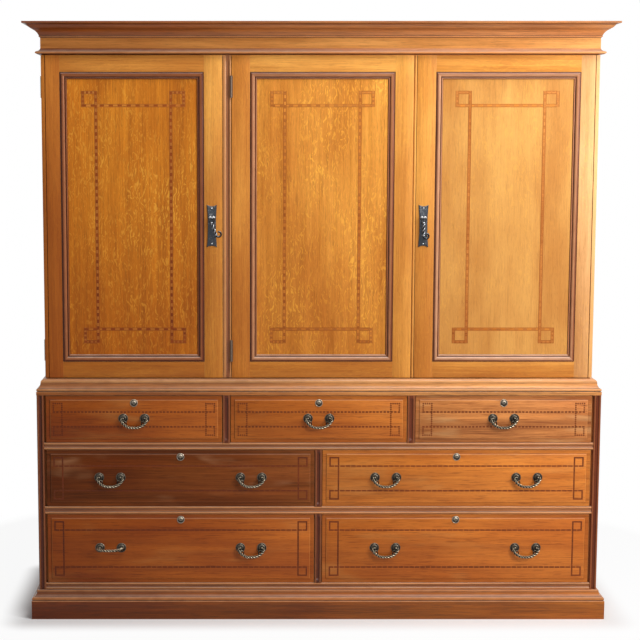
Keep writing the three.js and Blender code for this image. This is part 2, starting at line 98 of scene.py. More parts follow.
class Slot(Enum):
    """The record's material slots that a piece can take its finish from."""

    DOOR = "door_wood"
    PANEL = "panel_wood"
    DRAWER = "drawer_wood"
    MOULDING = "moulding_wood"
    CASE = "case_wood"
    INTERIOR = "interior_wood"
    IRON = "handle_iron"
    STEEL = "hinge_steel"


def tint(code: str) -> Colour:
    """Turns a screen colour into the linear one that a shader takes.

    Args:
        code: Six hexadecimal digits, red first.

    Returns:
        Red, green, blue and an alpha of one.
    """
    parts = [int(code[i:i + 2], 16) / 255 for i in (0, 2, 4)]
    linear = [c / 12.92 if c <= 0.04045 else ((c + 0.055) / 1.055) ** 2.4 for c in parts]
    return (linear[0], linear[1], linear[2], 1.0)


@dataclass(frozen=True)
class Box:
    """A box between its lower and its upper corner."""

    lo: Vector
    hi: Vector

    @classmethod
    def of(cls, node: str) -> "Box":
        """The box round a node of the frame."""
        low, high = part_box(node)
        return cls(Vector(low), Vector(high))

    @classmethod
    def between(cls, x: Point, y: Point, z: Point) -> "Box":
        """The box between two values on each axis."""
        return cls(Vector((x[0], y[0], z[0])), Vector((x[1], y[1], z[1])))

    @property
    def middle(self) -> Vector:
        """The box's middle."""
        return (self.lo + self.hi) / 2

    def moved(self, **ends: float) -> "Box":
        """Puts some ends of the box elsewhere.

        Args:
            ends: Where each goes, named as x0, x1, y0, y1, z0 and z1.

        Returns:
            The new box.
        """
        corners = (self.lo.copy(), self.hi.copy())
        for end, value in ends.items():
            corners[int(end[1])]["xyz".index(end[0])] = value
        return Box(*corners)


class Section:
    """A moulding's closed outline in millimetres, as points of how far out and how far up."""

    def __init__(self, out: float, up: float) -> None:
        """Starts the outline at one point."""
        self.points: list[Point] = [(out, up)]
        self.ages: list[float | None] = [None]

    def line(self, out: float, up: float, age: float | None = None) -> "Section":
        """Draws straight to a point.

        Args:
            out: How far out the point is.
            up: How far up the point is.
            age: How this side is marked, if that doesn't follow from its shape: worn with a painted
                highlight where positive, grimy with painted shade where negative.

        Returns:
            The section, so that one call can follow another.
        """
        self.points.append((out, up))
        self.ages.append(age)
        return self

    def curve(self, out: float, up: float, swell: float, steps: int = 7,
              age: float | None = None) -> "Section":
        """Draws an arc to a point.

        Args:
            out: How far out the arc ends.
            up: How far up the arc ends.
            swell: The arc's rise over its chord, to the right of the way it runs, or to the
                left where it is negative.
            steps: How many straight lengths stand for the arc.
            age: How the arc is marked, as for a line.

        Returns:
            The section.
        """
        start = Vector(self.points[-1])
        end = Vector((out, up))
        chord = (end - start).length
        along = (end - start) / chord
        across = Vector((along.y, -along.x)) * math.copysign(1.0, swell)
        rise = abs(swell) * chord
        radius = (chord ** 2 / 4 + rise ** 2) / (2 * rise)
        half_turn = math.acos((radius - rise) / radius)
        for step in range(1, steps + 1):
            angle = half_turn * (2 * step / steps - 1)
            lift = radius * math.cos(angle) - radius + rise
            point = (start + end) / 2 + along * radius * math.sin(angle) + across * lift
            self.line(point.x, point.y, age)
        return self

    def flattened(self) -> "Section":
        """Planes the worked face flat at the front.

        Returns:
            A new outline with as many points.
        """
        flat = Section(*self.points[0])
        flat.points += [(0.0, up) for _, up in self.points[1:-1]] + [self.points[-1]]
        return flat

    def wear(self, reach: float = 3.0) -> list[float]:
        """How each side of the outline is marked: worn with a painted highlight, or grimy with
        painted shade.

        Args:
            reach: The radius in millimetres at which a round is fully marked as worn, with its
                painted highlight.

        Returns:
            One value a side: up to 1 where a round is worn and given a painted highlight, down to
                -1 where a hollow is grimy and given painted shade.
        """
        points = [Vector(point) for point in self.points]
        count = len(points)
        area = sum(points[i - 1].cross(points[i]) for i in range(count))
        bends = []
        for i in range(count):
            before, after = points[i] - points[i - 1], points[(i + 1) % count] - points[i]
            turn = math.atan2(before.cross(after), before.dot(after)) * math.copysign(1.0, area)
            bends.append(2 * turn / (before.length + after.length))
        sides = [reach * (bends[i] + bends[(i + 1) % count]) / 2 for i in range(count)]
        known = self.ages[1:] + self.ages[:1]
        return [max(-1.0, min(1.0, side)) if age is None else age
                for side, age in zip(sides, known)]


class Pen:
    """Draws nodes into a tree, with values or links for their inputs."""

    def __init__(self, tree: bpy.types.NodeTree) -> None:
        """Takes the tree to draw in."""
        self.tree = tree

    @classmethod
    def on(cls, owner: Material | bpy.types.World) -> "Pen":
        """Clears the node tree of a material or a world.

        Args:
            owner: What the tree belongs to.

        Returns:
            A pen for that tree.
        """
        owner.use_nodes = True
        owner.node_tree.nodes.clear()
        return cls(owner.node_tree)

    def node(self, kind: str, inputs: dict | None = None, **settings: object) -> bpy.types.Node:
        """Adds a node.

        Args:
            kind: The node's type in Blender.
            inputs: A value or a socket for each input, by name or number.
            settings: The node's own settings.

        Returns:
            The node.
        """
        made = self.tree.nodes.new(kind)
        for name, value in settings.items():
            setattr(made, name, value)
        for name, value in (inputs or {}).items():
            if isinstance(value, bpy.types.NodeSocket):
                self.tree.links.new(value, made.inputs[name])
            else:
                made.inputs[name].default_value = value
        return made

    def math(self, operation: str, first: Socket | float, second: Socket | float = 0.0) -> Socket:
        """Works out one sum of one or two numbers and returns its result."""
        return self.node("ShaderNodeMath", {0: first, 1: second}, operation=operation).outputs[0]

    def vector(self, operation: str, first: Socket, second: Socket | Vector | tuple) -> Socket:
        """Works out one sum of two vectors and returns its result."""
        made = self.node("ShaderNodeVectorMath", {0: first, 1: second}, operation=operation)
        return made.outputs[0]

    def smooth(self, value: Socket, low: float, high: float) -> Socket:
        """Rises smoothly from 0 at the low value to 1 at the high one."""
        made = self.node("ShaderNodeMapRange", {"Value": value, "From Min": low, "From Max": high},
                         interpolation_type="SMOOTHSTEP")
        return made.outputs["Result"]

    def spread(self, value: Socket, low: float, high: float) -> Socket:
        """Maps 0..1 onto two values."""
        made = self.node("ShaderNodeMapRange", {"Value": value, "To Min": low, "To Max": high})
        return made.outputs["Result"]

    def noise(self, vector: Socket, stretch: tuple[float, float, float], detail: float = 2.0,
              distortion: float = 0.0, colour: bool = False) -> Socket:
        """Clouds of noise.

        Args:
            vector: The place to read the noise at.
            stretch: How many clouds there are in a metre along each axis.
            detail: How much finer noise is laid over it.
            distortion: How far the clouds are pulled about.
            colour: Whether to return three noises as a colour and not one as a number.

        Returns:
            The noise, round 0.5.
        """
        place = self.vector("MULTIPLY", vector, stretch)
        made = self.node("ShaderNodeTexNoise", {
            "Vector": place, "Scale": 1.0, "Detail": detail, "Distortion": distortion,
        })
        return made.outputs["Color" if colour else "Fac"]

    def blend(self, share: Socket | float, first: Socket | Colour, second: Socket | Colour,
              way: str = "MIX") -> Socket:
        """Mixes two colours and returns the result."""
        made = self.node("ShaderNodeMix", {0: share, 6: first, 7: second}, data_type="RGBA",
                         blend_type=way)
        return made.outputs[2]


AGED = (0.86, 0.76, 0.66, 1.0)
FRESH = (1.12, 1.18, 1.20, 1.0)
# Painted light: the multipliers where a wood is painted in shade and where it is painted lit, the
# paler colour laid on what faces up (dusty, and a painted highlight), and between which places, in
# metres, the painted light rises across and up.
PAINTED_SHADE_TINT = (0.47, 0.27, 0.0, 1.0)
PAINTED_LIGHT_TINT = (1.47, 1.71, 2.5, 1.0)
DUST_AND_HIGHLIGHT = (0.66, 0.5, 0.4, 1.0)
PAINTED_LIGHT_ACROSS = (-1.15, 1.15)
PAINTED_LIGHT_UP = (0.8, 2.1)
PORE_DEPTH = 0.3 * MM
HAMMER_DEPTH = 0.5 * MM


@functools.lru_cache(maxsize=None)
def wood_figure() -> bpy.types.NodeTree:
    """Builds the figure that every wood here shares: grain, pores, ray fleck, scuffs, worn and
    grimy places, and painted light and shade.

    Returns:
        A node group whose grain runs along Z.
    """
    tree = bpy.data.node_groups.new("wood_figure", "ShaderNodeTree")
    faces = tree.interface
    faces.new_socket("Place", in_out="INPUT", socket_type="NodeSocketVector")
    for name in ("Pale", "Deep", "Pore", "Fleck", "Rubbed", "Dirt"):
        faces.new_socket(name, in_out="INPUT", socket_type="NodeSocketColor")
    for name in ("Streaks", "Ticks", "Fleck Share", "Scuffs", "Sun", "Dust"):
        faces.new_socket(name, in_out="INPUT", socket_type="NodeSocketFloat")
    faces.new_socket("Colour", in_out="OUTPUT", socket_type="NodeSocketColor")
    for name in ("Dullness", "Height"):
        faces.new_socket(name, in_out="OUTPUT", socket_type="NodeSocketFloat")
    pen = Pen(tree)
    given = pen.node("NodeGroupInput").outputs
    sway = pen.vector("SUBTRACT", pen.noise(given["Place"], (5, 5, 0.9), colour=True), (0.5,) * 3)
    place = pen.vector("ADD", given["Place"], pen.vector("MULTIPLY", sway, (0.02, 0.02, 0.0)))

    # The grain. A noise's stretch is its clouds in a metre, the last number along the grain.
    broad = pen.noise(place, (13, 13, 0.7))
    lines = pen.noise(place, (150, 150, 2.6), detail=3)
    threads = pen.noise(place, (430, 430, 7), detail=3)
    pores = pen.smooth(pen.noise(place, (1300, 1300, 42), detail=1), 0.6, 0.72)
    bands = pen.noise(place, (48, 48, 1.7), detail=3)
    tone = pen.math("ADD", broad, pen.math("ADD", threads, pen.math("MULTIPLY", lines, 0.5)))
    tone = pen.math("SUBTRACT", pen.math("ADD", tone, bands), 1.75)
    tone = pen.math("MULTIPLY", tone, given["Streaks"])
    tone = pen.node("ShaderNodeClamp", {"Value": pen.math("ADD", tone, 0.5)}).outputs[0]
    colour = pen.blend(tone, given["Deep"], given["Pale"])
    colour = pen.blend(pen.math("MULTIPLY", pores, 0.4), colour, given["Pore"])
    ticks = pen.smooth(pen.noise(place, (240, 240, 15), detail=2), 0.54, 0.7)
    colour = pen.blend(pen.math("MULTIPLY", ticks, given["Ticks"]), colour, given["Pore"])

    # The ray fleck, in patches.
    bent = pen.vector("SUBTRACT", pen.noise(given["Place"], (26, 26, 17), colour=True), (0.5,) * 3)
    bent = pen.vector("ADD", place, pen.vector("MULTIPLY", bent, (0.05, 0.05, 0.02)))
    rays = pen.smooth(pen.noise(bent, (210, 210, 25), detail=1), 0.51, 0.68)
    patches = pen.smooth(pen.noise(place, (6, 6, 3.0)), 0.3, 0.62)
    fleck = pen.math("MULTIPLY", rays, patches)
    fleck = pen.math("MULTIPLY", fleck, given["Fleck Share"])
    colour = pen.blend(fleck, colour, given["Fleck"])

    # Random ageing blotches, then painted light that is brighter to the right and towards the top,
    # then scuffs from use.
    blotches = pen.smooth(pen.noise(given["Place"], (7, 7, 2.2), detail=3), 0.3, 0.7)
    colour = pen.blend(1.0, colour, pen.blend(blotches, AGED, FRESH), "MULTIPLY")
    colour = pen.blend(1.0, colour, pen.blend(given["Sun"], PAINTED_SHADE_TINT, PAINTED_LIGHT_TINT), "MULTIPLY")
    scuffs = pen.smooth(pen.noise(place, (22, 22, 3.4), detail=6), 0.44, 0.72)
    worn_parts = pen.smooth(pen.noise(given["Place"], (9, 9, 4)), 0.5, 0.66)
    scuffs = pen.math("MULTIPLY", pen.math("MULTIPLY", scuffs, worn_parts), given["Scuffs"])
    colour = pen.blend(scuffs, colour, given["Rubbed"])

    # Rounds paler and hollows darker, partly worn edges and grime, partly a painted highlight and
    # painted shade; what faces upwards is paler, partly dusty, partly a painted highlight.
    age = pen.node("ShaderNodeAttribute", attribute_name=WEAR_AND_SHADING).outputs["Fac"]
    patchy = pen.spread(pen.noise(given["Place"], (60, 60, 30)), 0.35, 1.1)
    rubbed = pen.math("MULTIPLY", pen.math("MAXIMUM", age, 0.0), patchy)
    dirty_and_shaded = pen.math("MAXIMUM", pen.math("MULTIPLY", age, -1.0), 0.0)
    colour = pen.blend(pen.math("MULTIPLY", rubbed, 0.7), colour, given["Rubbed"])
    colour = pen.blend(pen.math("MULTIPLY", dirty_and_shaded, 0.92), colour, given["Dirt"])
    facing = pen.node("ShaderNodeNewGeometry").outputs["Normal"]
    facing = pen.node("ShaderNodeSeparateXYZ", {0: facing}).outputs["Z"]
    dust = pen.math("MULTIPLY", pen.math("MULTIPLY", pen.smooth(facing, 0.3, 0.95), patchy),
                    given["Dust"])
    colour = pen.blend(dust, colour, DUST_AND_HIGHLIGHT)

    dullness = pen.math("ADD", pen.math("MULTIPLY", pores, 0.12), pen.math("MULTIPLY", scuffs, 0.3))
    uneven = pen.math("MULTIPLY", pen.math("SUBTRACT", broad, 0.5), 0.25)
    dullness = pen.math("ADD", dullness, uneven)
    height = pen.math("SUBTRACT", pen.math("MULTIPLY", lines, 0.5), pores)
    pen.node("NodeGroupOutput", {"Colour": colour, "Dullness": dullness, "Height": height})
    return tree


@dataclass(frozen=True)
class Wood:
    """A polished wood, with its colours as seen on the press.

    Attributes:
        name: What the finish is called.
        pale: The colour between the grain lines.
        deep: The colour of the grain lines.
        rubbed: The colour of worn edges and beads, where a painted highlight also lies, and of
            scuffs.
        dirt: The colour laid in the hollows: grime with painted shade.
        pore: The colour of the pores and of the short dark dashes.
        fleck_colour: The colour of the ray fleck.
        streaks: How far the grain stands out.
        ticks: How far the short dark dashes stand out, up to 1.
        fleck: How much ray fleck there is, up to 1.
        scuffs: How much the polish is scuffed, up to 1.
        roughness: How dull the polish is.
        gloss: How strongly the polish reflects.
        varnish: How much clear coat lies over it.
        sun: How much lighter it is painted on the right than on the left, as painted light falling
            from the right.
        rise: How much lighter it is painted at the top of the cupboard than at its foot, as painted
            light falling from above.
        dust: How much paler what faces upwards is made: dusty, and a painted highlight.
    """

    name: str
    pale: str
    deep: str
    rubbed: str = "8a4a20"
    dirt: str = "3a1808"
    pore: str = "4a2810"
    fleck_colour: str = "ffb63e"
    streaks: float = 1.3
    ticks: float = 0.2
    fleck: float = 0.0
    scuffs: float = 0.0
    roughness: float = 0.42
    gloss: float = 0.2
    varnish: float = 0.0
    sun: float = 0.3
    rise: float = 0.0
    dust: float = 0.15

    @functools.lru_cache(maxsize=None)
    def cut(self, grain: Grain, board: int = 0, shade: float = 1.0,
            sides: Grain | None = None) -> Material:
        """Makes the material of one board.

        Args:
            grain: Which way the board's grain runs.
            board: Which board of this wood it is; each has a figure of its own.
            shade: How light the board is beside others of its wood.
            sides: Which way the grain runs on what faces left or right, if that is another way.

        Returns:
            The material.
        """
        made = bpy.data.materials.new(f"{self.name}_{grain.name.lower()}_{board}")
        pen = Pen.on(made)
        coordinates = pen.node("ShaderNodeTexCoord").outputs
        where = coordinates["Object"]
        place = self._laid(pen, where, grain, board)
        if sides:
            facing = pen.node("ShaderNodeSeparateXYZ", {0: coordinates["Normal"]}).outputs["X"]
            sideways = pen.math("GREATER_THAN", pen.math("ABSOLUTE", facing), 0.7)
            place = pen.node("ShaderNodeMix", {0: sideways, 4: place,
                                               5: self._laid(pen, where, sides, board)},
                             data_type="VECTOR").outputs[1]
        across, _, up = pen.node("ShaderNodeSeparateXYZ", {0: where}).outputs
        # Painted light: lighter to the right and towards the top of the press, darker to the left
        # and at the foot.
        sun = pen.spread(pen.smooth(across, *PAINTED_LIGHT_ACROSS), 0.5 - self.sun / 2, 0.5 + self.sun / 2)
        rise = pen.spread(pen.smooth(up, *PAINTED_LIGHT_UP), -self.rise / 2, self.rise / 2)
        colours = {"Pale": self.pale, "Deep": self.deep, "Pore": self.pore,
                   "Fleck": self.fleck_colour, "Rubbed": self.rubbed, "Dirt": self.dirt}
        stain = (shade ** 0.55, shade, shade ** 1.5, 1.0)
        dyes = {name: [c * s for c, s in zip(tint(code), stain)] for name, code in colours.items()}
        figure = pen.node("ShaderNodeGroup", {
            **dyes, "Place": place, "Sun": pen.math("ADD", sun, rise), "Streaks": self.streaks,
            "Ticks": self.ticks, "Fleck Share": self.fleck, "Scuffs": self.scuffs,
            "Dust": self.dust,
        }, node_tree=wood_figure()).outputs
        bump = pen.node("ShaderNodeBump", {
            "Height": figure["Height"], "Strength": 0.25, "Distance": PORE_DEPTH,
        })
        skin = pen.node("ShaderNodeBsdfPrincipled", {
            "Base Color": figure["Colour"],
            "Roughness": pen.math("ADD", figure["Dullness"], self.roughness),
            "Specular IOR Level": self.gloss,
            "Coat Weight": self.varnish,
            "Coat Roughness": 0.22,
            "Normal": bump.outputs[0],
        })
        pen.node("ShaderNodeOutputMaterial", {"Surface": skin.outputs[0]})
        return made

    def _laid(self, pen: Pen, place: Socket, grain: Grain, board: int) -> Socket:
        """Turns the place so that the grain runs along Z, and shifts it to a board of its own.

        Args:
            pen: What to draw with.
            place: The place to turn.
            grain: Which way the board's grain runs.
            board: Which board it is.

        Returns:
            The place on that board.
        """
        dice = random.Random(f"{self.name} {board}")
        shift = tuple(dice.uniform(-4.0, 4.0) for _ in range(3))
        laid = pen.node("ShaderNodeMapping", {
            "Vector": place, "Rotation": grain.value, "Location": shift,
        })
        return laid.outputs[0]


@dataclass(frozen=True)
class Metal:
    """A worked metal with hammer marks, hollows darkened by grime and painted shade, and worn edges
    and upward faces brightened with a painted highlight.

    Attributes:
        name: What the metal is called.
        body: Its colour where it is dull.
        bright: Its colour where it is worn and where a painted highlight lies.
        roughness: How dull its surface is.
        hammering: How deep the hammer marks are.
        lift: How much brighter what faces upwards is painted than what faces down, as a painted
            highlight.
    """

    name: str
    body: str
    bright: str
    roughness: float = 0.42
    hammering: float = 0.5
    lift: float = 0.8

    @functools.lru_cache(maxsize=None)
    def cast(self) -> Material:
        """Makes the metal's material.

        Returns:
            The material.
        """
        made = bpy.data.materials.new(self.name)
        pen = Pen.on(made)
        place = pen.node("ShaderNodeTexCoord").outputs["Object"]
        marks = pen.node("ShaderNodeTexVoronoi", {"Vector": place, "Scale": 190.0},
                         feature="SMOOTH_F1").outputs["Distance"]
        clouds = pen.noise(place, (260, 260, 260), detail=4)
        age = pen.node("ShaderNodeAttribute", attribute_name=WEAR_AND_SHADING).outputs["Fac"]
        facing = pen.node("ShaderNodeNewGeometry").outputs["Normal"]
        facing = pen.node("ShaderNodeSeparateXYZ", {0: facing}).outputs["Z"]
        # One brightness: worn edges with a painted highlight, grime with painted shade in hollows,
        # random clouds, and a painted highlight on what faces up.
        polish = pen.math("MULTIPLY", pen.math("ADD", age, 0.1), 0.8)
        polish = pen.math("ADD", polish, pen.math("MULTIPLY", pen.smooth(clouds, 0.5, 0.75), 0.35))
        lift = pen.spread(pen.smooth(facing, -0.4, 0.9), -self.lift / 2, self.lift / 2)
        polish = pen.math("ADD", polish, lift)
        polish = pen.node("ShaderNodeClamp", {"Value": polish}).outputs[0]
        colour = pen.blend(polish, tint(self.body), tint(self.bright))
        rough = pen.math("SUBTRACT", pen.spread(clouds, self.roughness, self.roughness + 0.25),
                         pen.math("MULTIPLY", polish, 0.12))
        height = pen.math("ADD", marks, pen.math("MULTIPLY", clouds, 0.4))
        bump = pen.node("ShaderNodeBump", {
            "Height": height, "Strength": self.hammering, "Distance": HAMMER_DEPTH,
        })
        skin = pen.node("ShaderNodeBsdfPrincipled", {
            "Base Color": colour, "Metallic": 0.85, "Roughness": rough, "Normal": bump.outputs[0],
        })
        pen.node("ShaderNodeOutputMaterial", {"Surface": skin.outputs[0]})
        return made


DOOR_OAK = Wood("door_oak", pale="e9993b", deep="b0631d", rubbed="eaa654", dirt="6a3610",
                pore="8a4e1c", streaks=0.8, ticks=0.2, fleck=0.12, rise=0.42)
FADED_OAK = replace(DOOR_OAK, name="faded_door_oak", pale="e59e56", deep="b06c32", streaks=0.55)
PANEL_OAK = Wood("panel_oak", pale="f09d3b", deep="bc711f", rubbed="eaa654", dirt="6a3610",
                 streaks=0.85, fleck=0.6, rise=0.36)
LEFT_PANEL = replace(PANEL_OAK, name="left_panel_oak", pale="f09223", deep="a85a11", fleck=0.5)
PLAIN_PANEL = Wood("plain_panel_oak", pale="d89844", deep="b4722e", rubbed="eeb064",
                   dirt="6a3610", pore="8a4e1c", streaks=0.4, fleck=0.12, rise=0.24, sun=0.5)
DRAWER_WOOD = Wood("drawer_wood", pale="d07524", deep="964b14", rubbed="dca45e", dirt="481c06",
                   pore="6c300c", streaks=0.75, ticks=0.42, scuffs=0.2, sun=0.7)
WORN_DRAWER = replace(DRAWER_WOOD, name="worn_drawer_wood", pale="ca7a36", deep="743a16",
                      rubbed="d6a26a", streaks=1.15, ticks=0.5, scuffs=1.0)
DARK_DRAWER = Wood("dark_drawer_wood", pale="9e5622", deep="5f2f08", rubbed="a4704c",
                   dirt="2a1004", streaks=0.9, ticks=0.35, scuffs=0.8, gloss=0.12, sun=0.7)
MOULDING = Wood("moulding_wood", pale="c97836", deep="884c1e", rubbed="e0a468", dirt="32140a",
                roughness=0.3, gloss=0.4, dust=0.4)
STRIP_OAK = Wood("strip_oak", pale="c87b3f", deep="a05d2b", rubbed="eeb470", dirt="4a200e",
                 roughness=0.3, gloss=0.35, dust=0.3, rise=0.3)
CROWN_WOOD = Wood("crown_wood", pale="da863e", deep="935628", rubbed="e8a468", dirt="401a08",
                  ticks=0.3, roughness=0.3, gloss=0.35, sun=1.05, dust=0.6)
WAIST_WOOD = Wood("waist_wood", pale="e09042", deep="985b28", rubbed="f0b478", dirt="3c1808",
                  ticks=0.35, roughness=0.3, gloss=0.3, sun=0.75, dust=0.25)
PANEL_TRIM = Wood("panel_trim_wood", pale="bc7443", deep="7a4424", rubbed="dca276", dirt="401604",
                  roughness=0.3, gloss=0.25, sun=0.4, rise=0.2, dust=0.9)
PLINTH_WOOD = Wood("plinth_wood", pale="9c5012", deep="6a3308", rubbed="dc9458", dirt="240e04",
                   ticks=0.4, roughness=0.32, gloss=0.25, sun=0.85, dust=0.3)
STRIP_WOOD = Wood("strip_wood", pale="803610", deep="541e05", rubbed="b87848", dirt="200a04",
                  roughness=0.3, gloss=0.25)
FRIEZE = Wood("frieze_wood", pale="f4a851", deep="c2782e", rubbed="dc9c5c", dirt="5a2c0c",
              sun=0.36)
CASE_WOOD = Wood("case_wood", pale="b87030", deep="884818", rubbed="d89a5c", dirt="532808")
INNER_WOOD = Wood("inner_wood", pale="cfa270", deep="a6784a", rubbed="d8b888", dirt="6e4e2a",
                  roughness=0.6, sun=0.1)
BACK_WOOD = Wood("back_wood", pale="be9262", deep="8e6840", rubbed="ae8660", dirt="4a3420",
                 roughness=0.65, sun=0.1)
DARK_INLAY = Wood("dark_inlay", pale="ae561a", deep="88400e", rise=0.3)
FAINT_INLAY = Wood("faint_inlay", pale="cb7e34", deep="ac6220", rise=0.3)
DARK_LINE = Wood("dark_line", pale="7e3810", deep="582608")
PALE_INLAY = Wood("pale_inlay", pale="e08e34", deep="bc6c20", rubbed="e8b468", dirt="9a5c26",
                  rise=0.36)
STRING_INLAY = Wood("string_inlay", pale="b05e1c", deep="8a460f", rise=0.36)
IRON = Metal("handle_iron", body="1a1612", bright="c4b69c", roughness=0.32, lift=0.6)
ROSETTE_IRON = Metal("rosette_iron", body="110e0b", bright="6a6256", roughness=0.3, lift=0.5)
PLATE_IRON = Metal("plate_iron", body="2c261f", bright="b4a896", roughness=0.3)
DROP_IRON = Metal("door_drop_iron", body="1b1d21", bright="b9bdc2", roughness=0.3, lift=0.6)
HANDLE_IRON = Metal("door_handle_iron", body="3c3f44", bright="dadada", roughness=0.3)
STEEL = Metal("hinge_steel", body="66564a", bright="c8bcae", roughness=0.35, hammering=0.1)
SHADOW = Metal("keyhole_dark", body="0c0a09", bright="1c1814", roughness=0.7)


def in_scene(name: str, data: bpy.types.ID) -> bpy.types.Object:
    """Puts an object into the scene.

    Args:
        name: What it is called.
        data: Its mesh, light or camera.

    Returns:
        The object, at the origin.
    """
    made = bpy.data.objects.new(name, data)
    bpy.context.scene.collection.objects.link(made)
    return made


class Piece:
    """One piece of the press while it is being made."""

    def __init__(self, name: str) -> None:
        """Starts an empty piece."""
        self.name = name
        self.mesh = bmesh.new()
        self.wear = self.mesh.faces.layers.float.new(WEAR_AND_SHADING)
        self.finishes: list[Material] = []

    def face(self, corners: list[bmesh.types.BMVert], finish: Material, wear: float = 0.0) -> None:
        """Adds one face.

        Args:
            corners: Its corners in turn.
            finish: Its material.
            wear: How worn it is, with a painted highlight, or how grimy, with painted shade where
                negative.
        """
        if finish not in self.finishes:
            self.finishes.append(finish)
        made = self.mesh.faces.new(corners)
        made.material_index = self.finishes.index(finish)
        made[self.wear] = wear

    def board(self, box: Box, finish: Material, ease: float = 0.8) -> None:
        """Adds a board with its edges eased.

        Args:
            box: Where the board is.
            finish: Its material.
            ease: The radius of its edges in millimetres.
        """
        lo, hi = box.lo, box.hi
        corners = [self.mesh.verts.new((x, y, z)) for x in (lo.x, hi.x) for y in (lo.y, hi.y)
                   for z in (lo.z, hi.z)]
        for quad in ((0, 1, 3, 2), (4, 6, 7, 5), (0, 4, 5, 1), (2, 3, 7, 6), (0, 2, 6, 4),
                     (1, 5, 7, 3)):
            self.face([corners[i] for i in quad], finish)
        if ease:
            edges = dict.fromkeys(edge for corner in corners for edge in corner.link_edges)
            eased = bmesh.ops.bevel(self.mesh, geom=list(edges), offset=ease * MM, segments=2,
                                    profile=0.5, affect="EDGES")
            # Eased edges are marked as worn, which also paints a highlight on them.
            for made in eased["faces"]:
                made[self.wear] = ARRIS_WEAR_AND_HIGHLIGHT

    def loft(self, loops: list[list[Vector]], finishes: list[Material],
             wear: list[float] | None = None, closed: bool = False) -> None:
        """Skins a run of loops that have the same number of points.

        Args:
            loops: The loops in order.
            finishes: The material of each length between loops, used in turn.
            wear: How each side of the loops is marked, as for a face.
            closed: Whether the last loop joins the first; if not, both ends are faced.
        """
        rings = [[self.mesh.verts.new(point) for point in loop] for loop in loops]
        sides = len(loops[0])
        for i in range(len(rings) if closed else len(rings) - 1):
            near, far = rings[i], rings[(i + 1) % len(rings)]
            for j in range(sides):
                k = (j + 1) % sides
                self.face([near[j], near[k], far[k], far[j]], finishes[i % len(finishes)],
                          wear[j] if wear else 0.0)
        if not closed:
            self.face(rings[0][::-1], finishes[0])
            self.face(rings[-1], finishes[(len(rings) - 2) % len(finishes)])

    def run(self, section: Section, stations: Stations, rise: Vector, finishes: list[Material],
            closed: bool = False) -> None:
        """Runs a moulding round corners, mitred at each.

        Args:
            section: The moulding's outline.
            stations: Each corner with the way that its outline points outwards there.
            rise: The way that the outline points upwards.
            finishes: The material of each length, used in turn.
            closed: Whether the run comes back to its first corner.
        """
        loops = [[corner + side * out * MM + rise * up * MM for out, up in section.points]
                 for corner, side in stations]
        self.loft(loops, finishes, section.wear(), closed)

    def turned(self, outline: Section, centre: Vector, finish: Material, sides: int,
               axis: Vector = FORWARD) -> None:
        """Turns an outline of radii and heights about a line.

        Args:
            outline: The radius and the height of each point, from one end of the line to the
                other, starting and ending on the line.
            centre: Where the line starts.
            finish: The piece's material.
            sides: How many sides the round has.
            axis: The way that the line points.
        """
        first = axis.orthogonal().normalized()
        second = axis.cross(first)
        rings = []
        for radius, up in outline.points:
            middle = centre + axis * up * MM
            angles = [2 * math.pi * i / sides for i in range(sides)] if radius > 0 else [0.0]
            ring = [middle + (first * math.cos(a) + second * math.sin(a)) * radius * MM
                    for a in angles]
            rings.append([self.mesh.verts.new(point) for point in ring])
        for near, far, wear in zip(rings, rings[1:], outline.wear()):
            for i in range(sides):
                k = (i + 1) % sides
                corners = [near[i % len(near)], near[k % len(near)], far[k % len(far)],
                           far[i % len(far)]]
                self.face(list(dict.fromkeys(corners)), finish, wear)

    def tube(self, path: list[Vector], radii: list[float], across: Vector, finish: Material,
             sides: int = 12, closed: bool = False) -> None:
        """Draws a round rod along a path that lies in one plane.

        Args:
            path: The points that it follows.
            radii: Its radius in millimetres at each point.
            across: The way square to the path's plane.
            finish: Its material.
            sides: How many sides it has.
            closed: Whether it comes back to its first point.
        """
        loops = []
        count = len(path)
        for i, (point, radius) in enumerate(zip(path, radii)):
            after = path[(i + 1) % count] if closed or i < count - 1 else point
            before = path[i - 1] if closed or i > 0 else point
            aside = (after - before).normalized().cross(across)
            loops.append([point + (across * math.cos(a) + aside * math.sin(a)) * radius * MM
                          for a in (2 * math.pi * j / sides for j in range(sides))])
        self.loft(loops, [finish], closed=closed)

    def done(self, body: str, stands_for: tuple[str, ...] = (),
             notches: tuple[Box, ...] = (), crisp: float = 28.0) -> bpy.types.Object:
        """Finishes the piece and puts it on its body.

        Args:
            body: The body of the frame that it moves with.
            stands_for: The nodes of the frame that it replaces.
            notches: Boxes that are cut out of it.
            crisp: The angle in degrees from which an edge is shown sharp.

        Returns:
            The finished object.
        """
        made = in_scene(self.name, self._ended())
        if notches:
            self._notch(made, notches)
        return fitted(made, body, stands_for, crisp)

    def _ended(self) -> bpy.types.Mesh:
        """Ends the modelling, with every face turned outwards.

        Returns:
            The mesh with its materials.
        """
        bmesh.ops.recalc_face_normals(self.mesh, faces=self.mesh.faces)
        mesh = bpy.data.meshes.new(self.name)
        self.mesh.to_mesh(mesh)
        self.mesh.free()
        for finish in self.finishes:
            mesh.materials.append(finish)
        return mesh

    def _notch(self, made: bpy.types.Object, notches: tuple[Box, ...]) -> None:
        """Cuts boxes out of a finished mesh.

        Args:
            made: The object that has the mesh.
            notches: The boxes.
        """
        cutter = Piece("notches")
        for notch in notches:
            cutter.board(notch, self.finishes[0], ease=0.0)
        tool = in_scene(cutter.name, cutter._ended())
        saw = made.modifiers.new("notches", "BOOLEAN")
        saw.operation, saw.solver, saw.object = "DIFFERENCE", "EXACT", tool
        made.data = plain_mesh(made)
        made.modifiers.clear()
        bpy.data.objects.remove(tool)


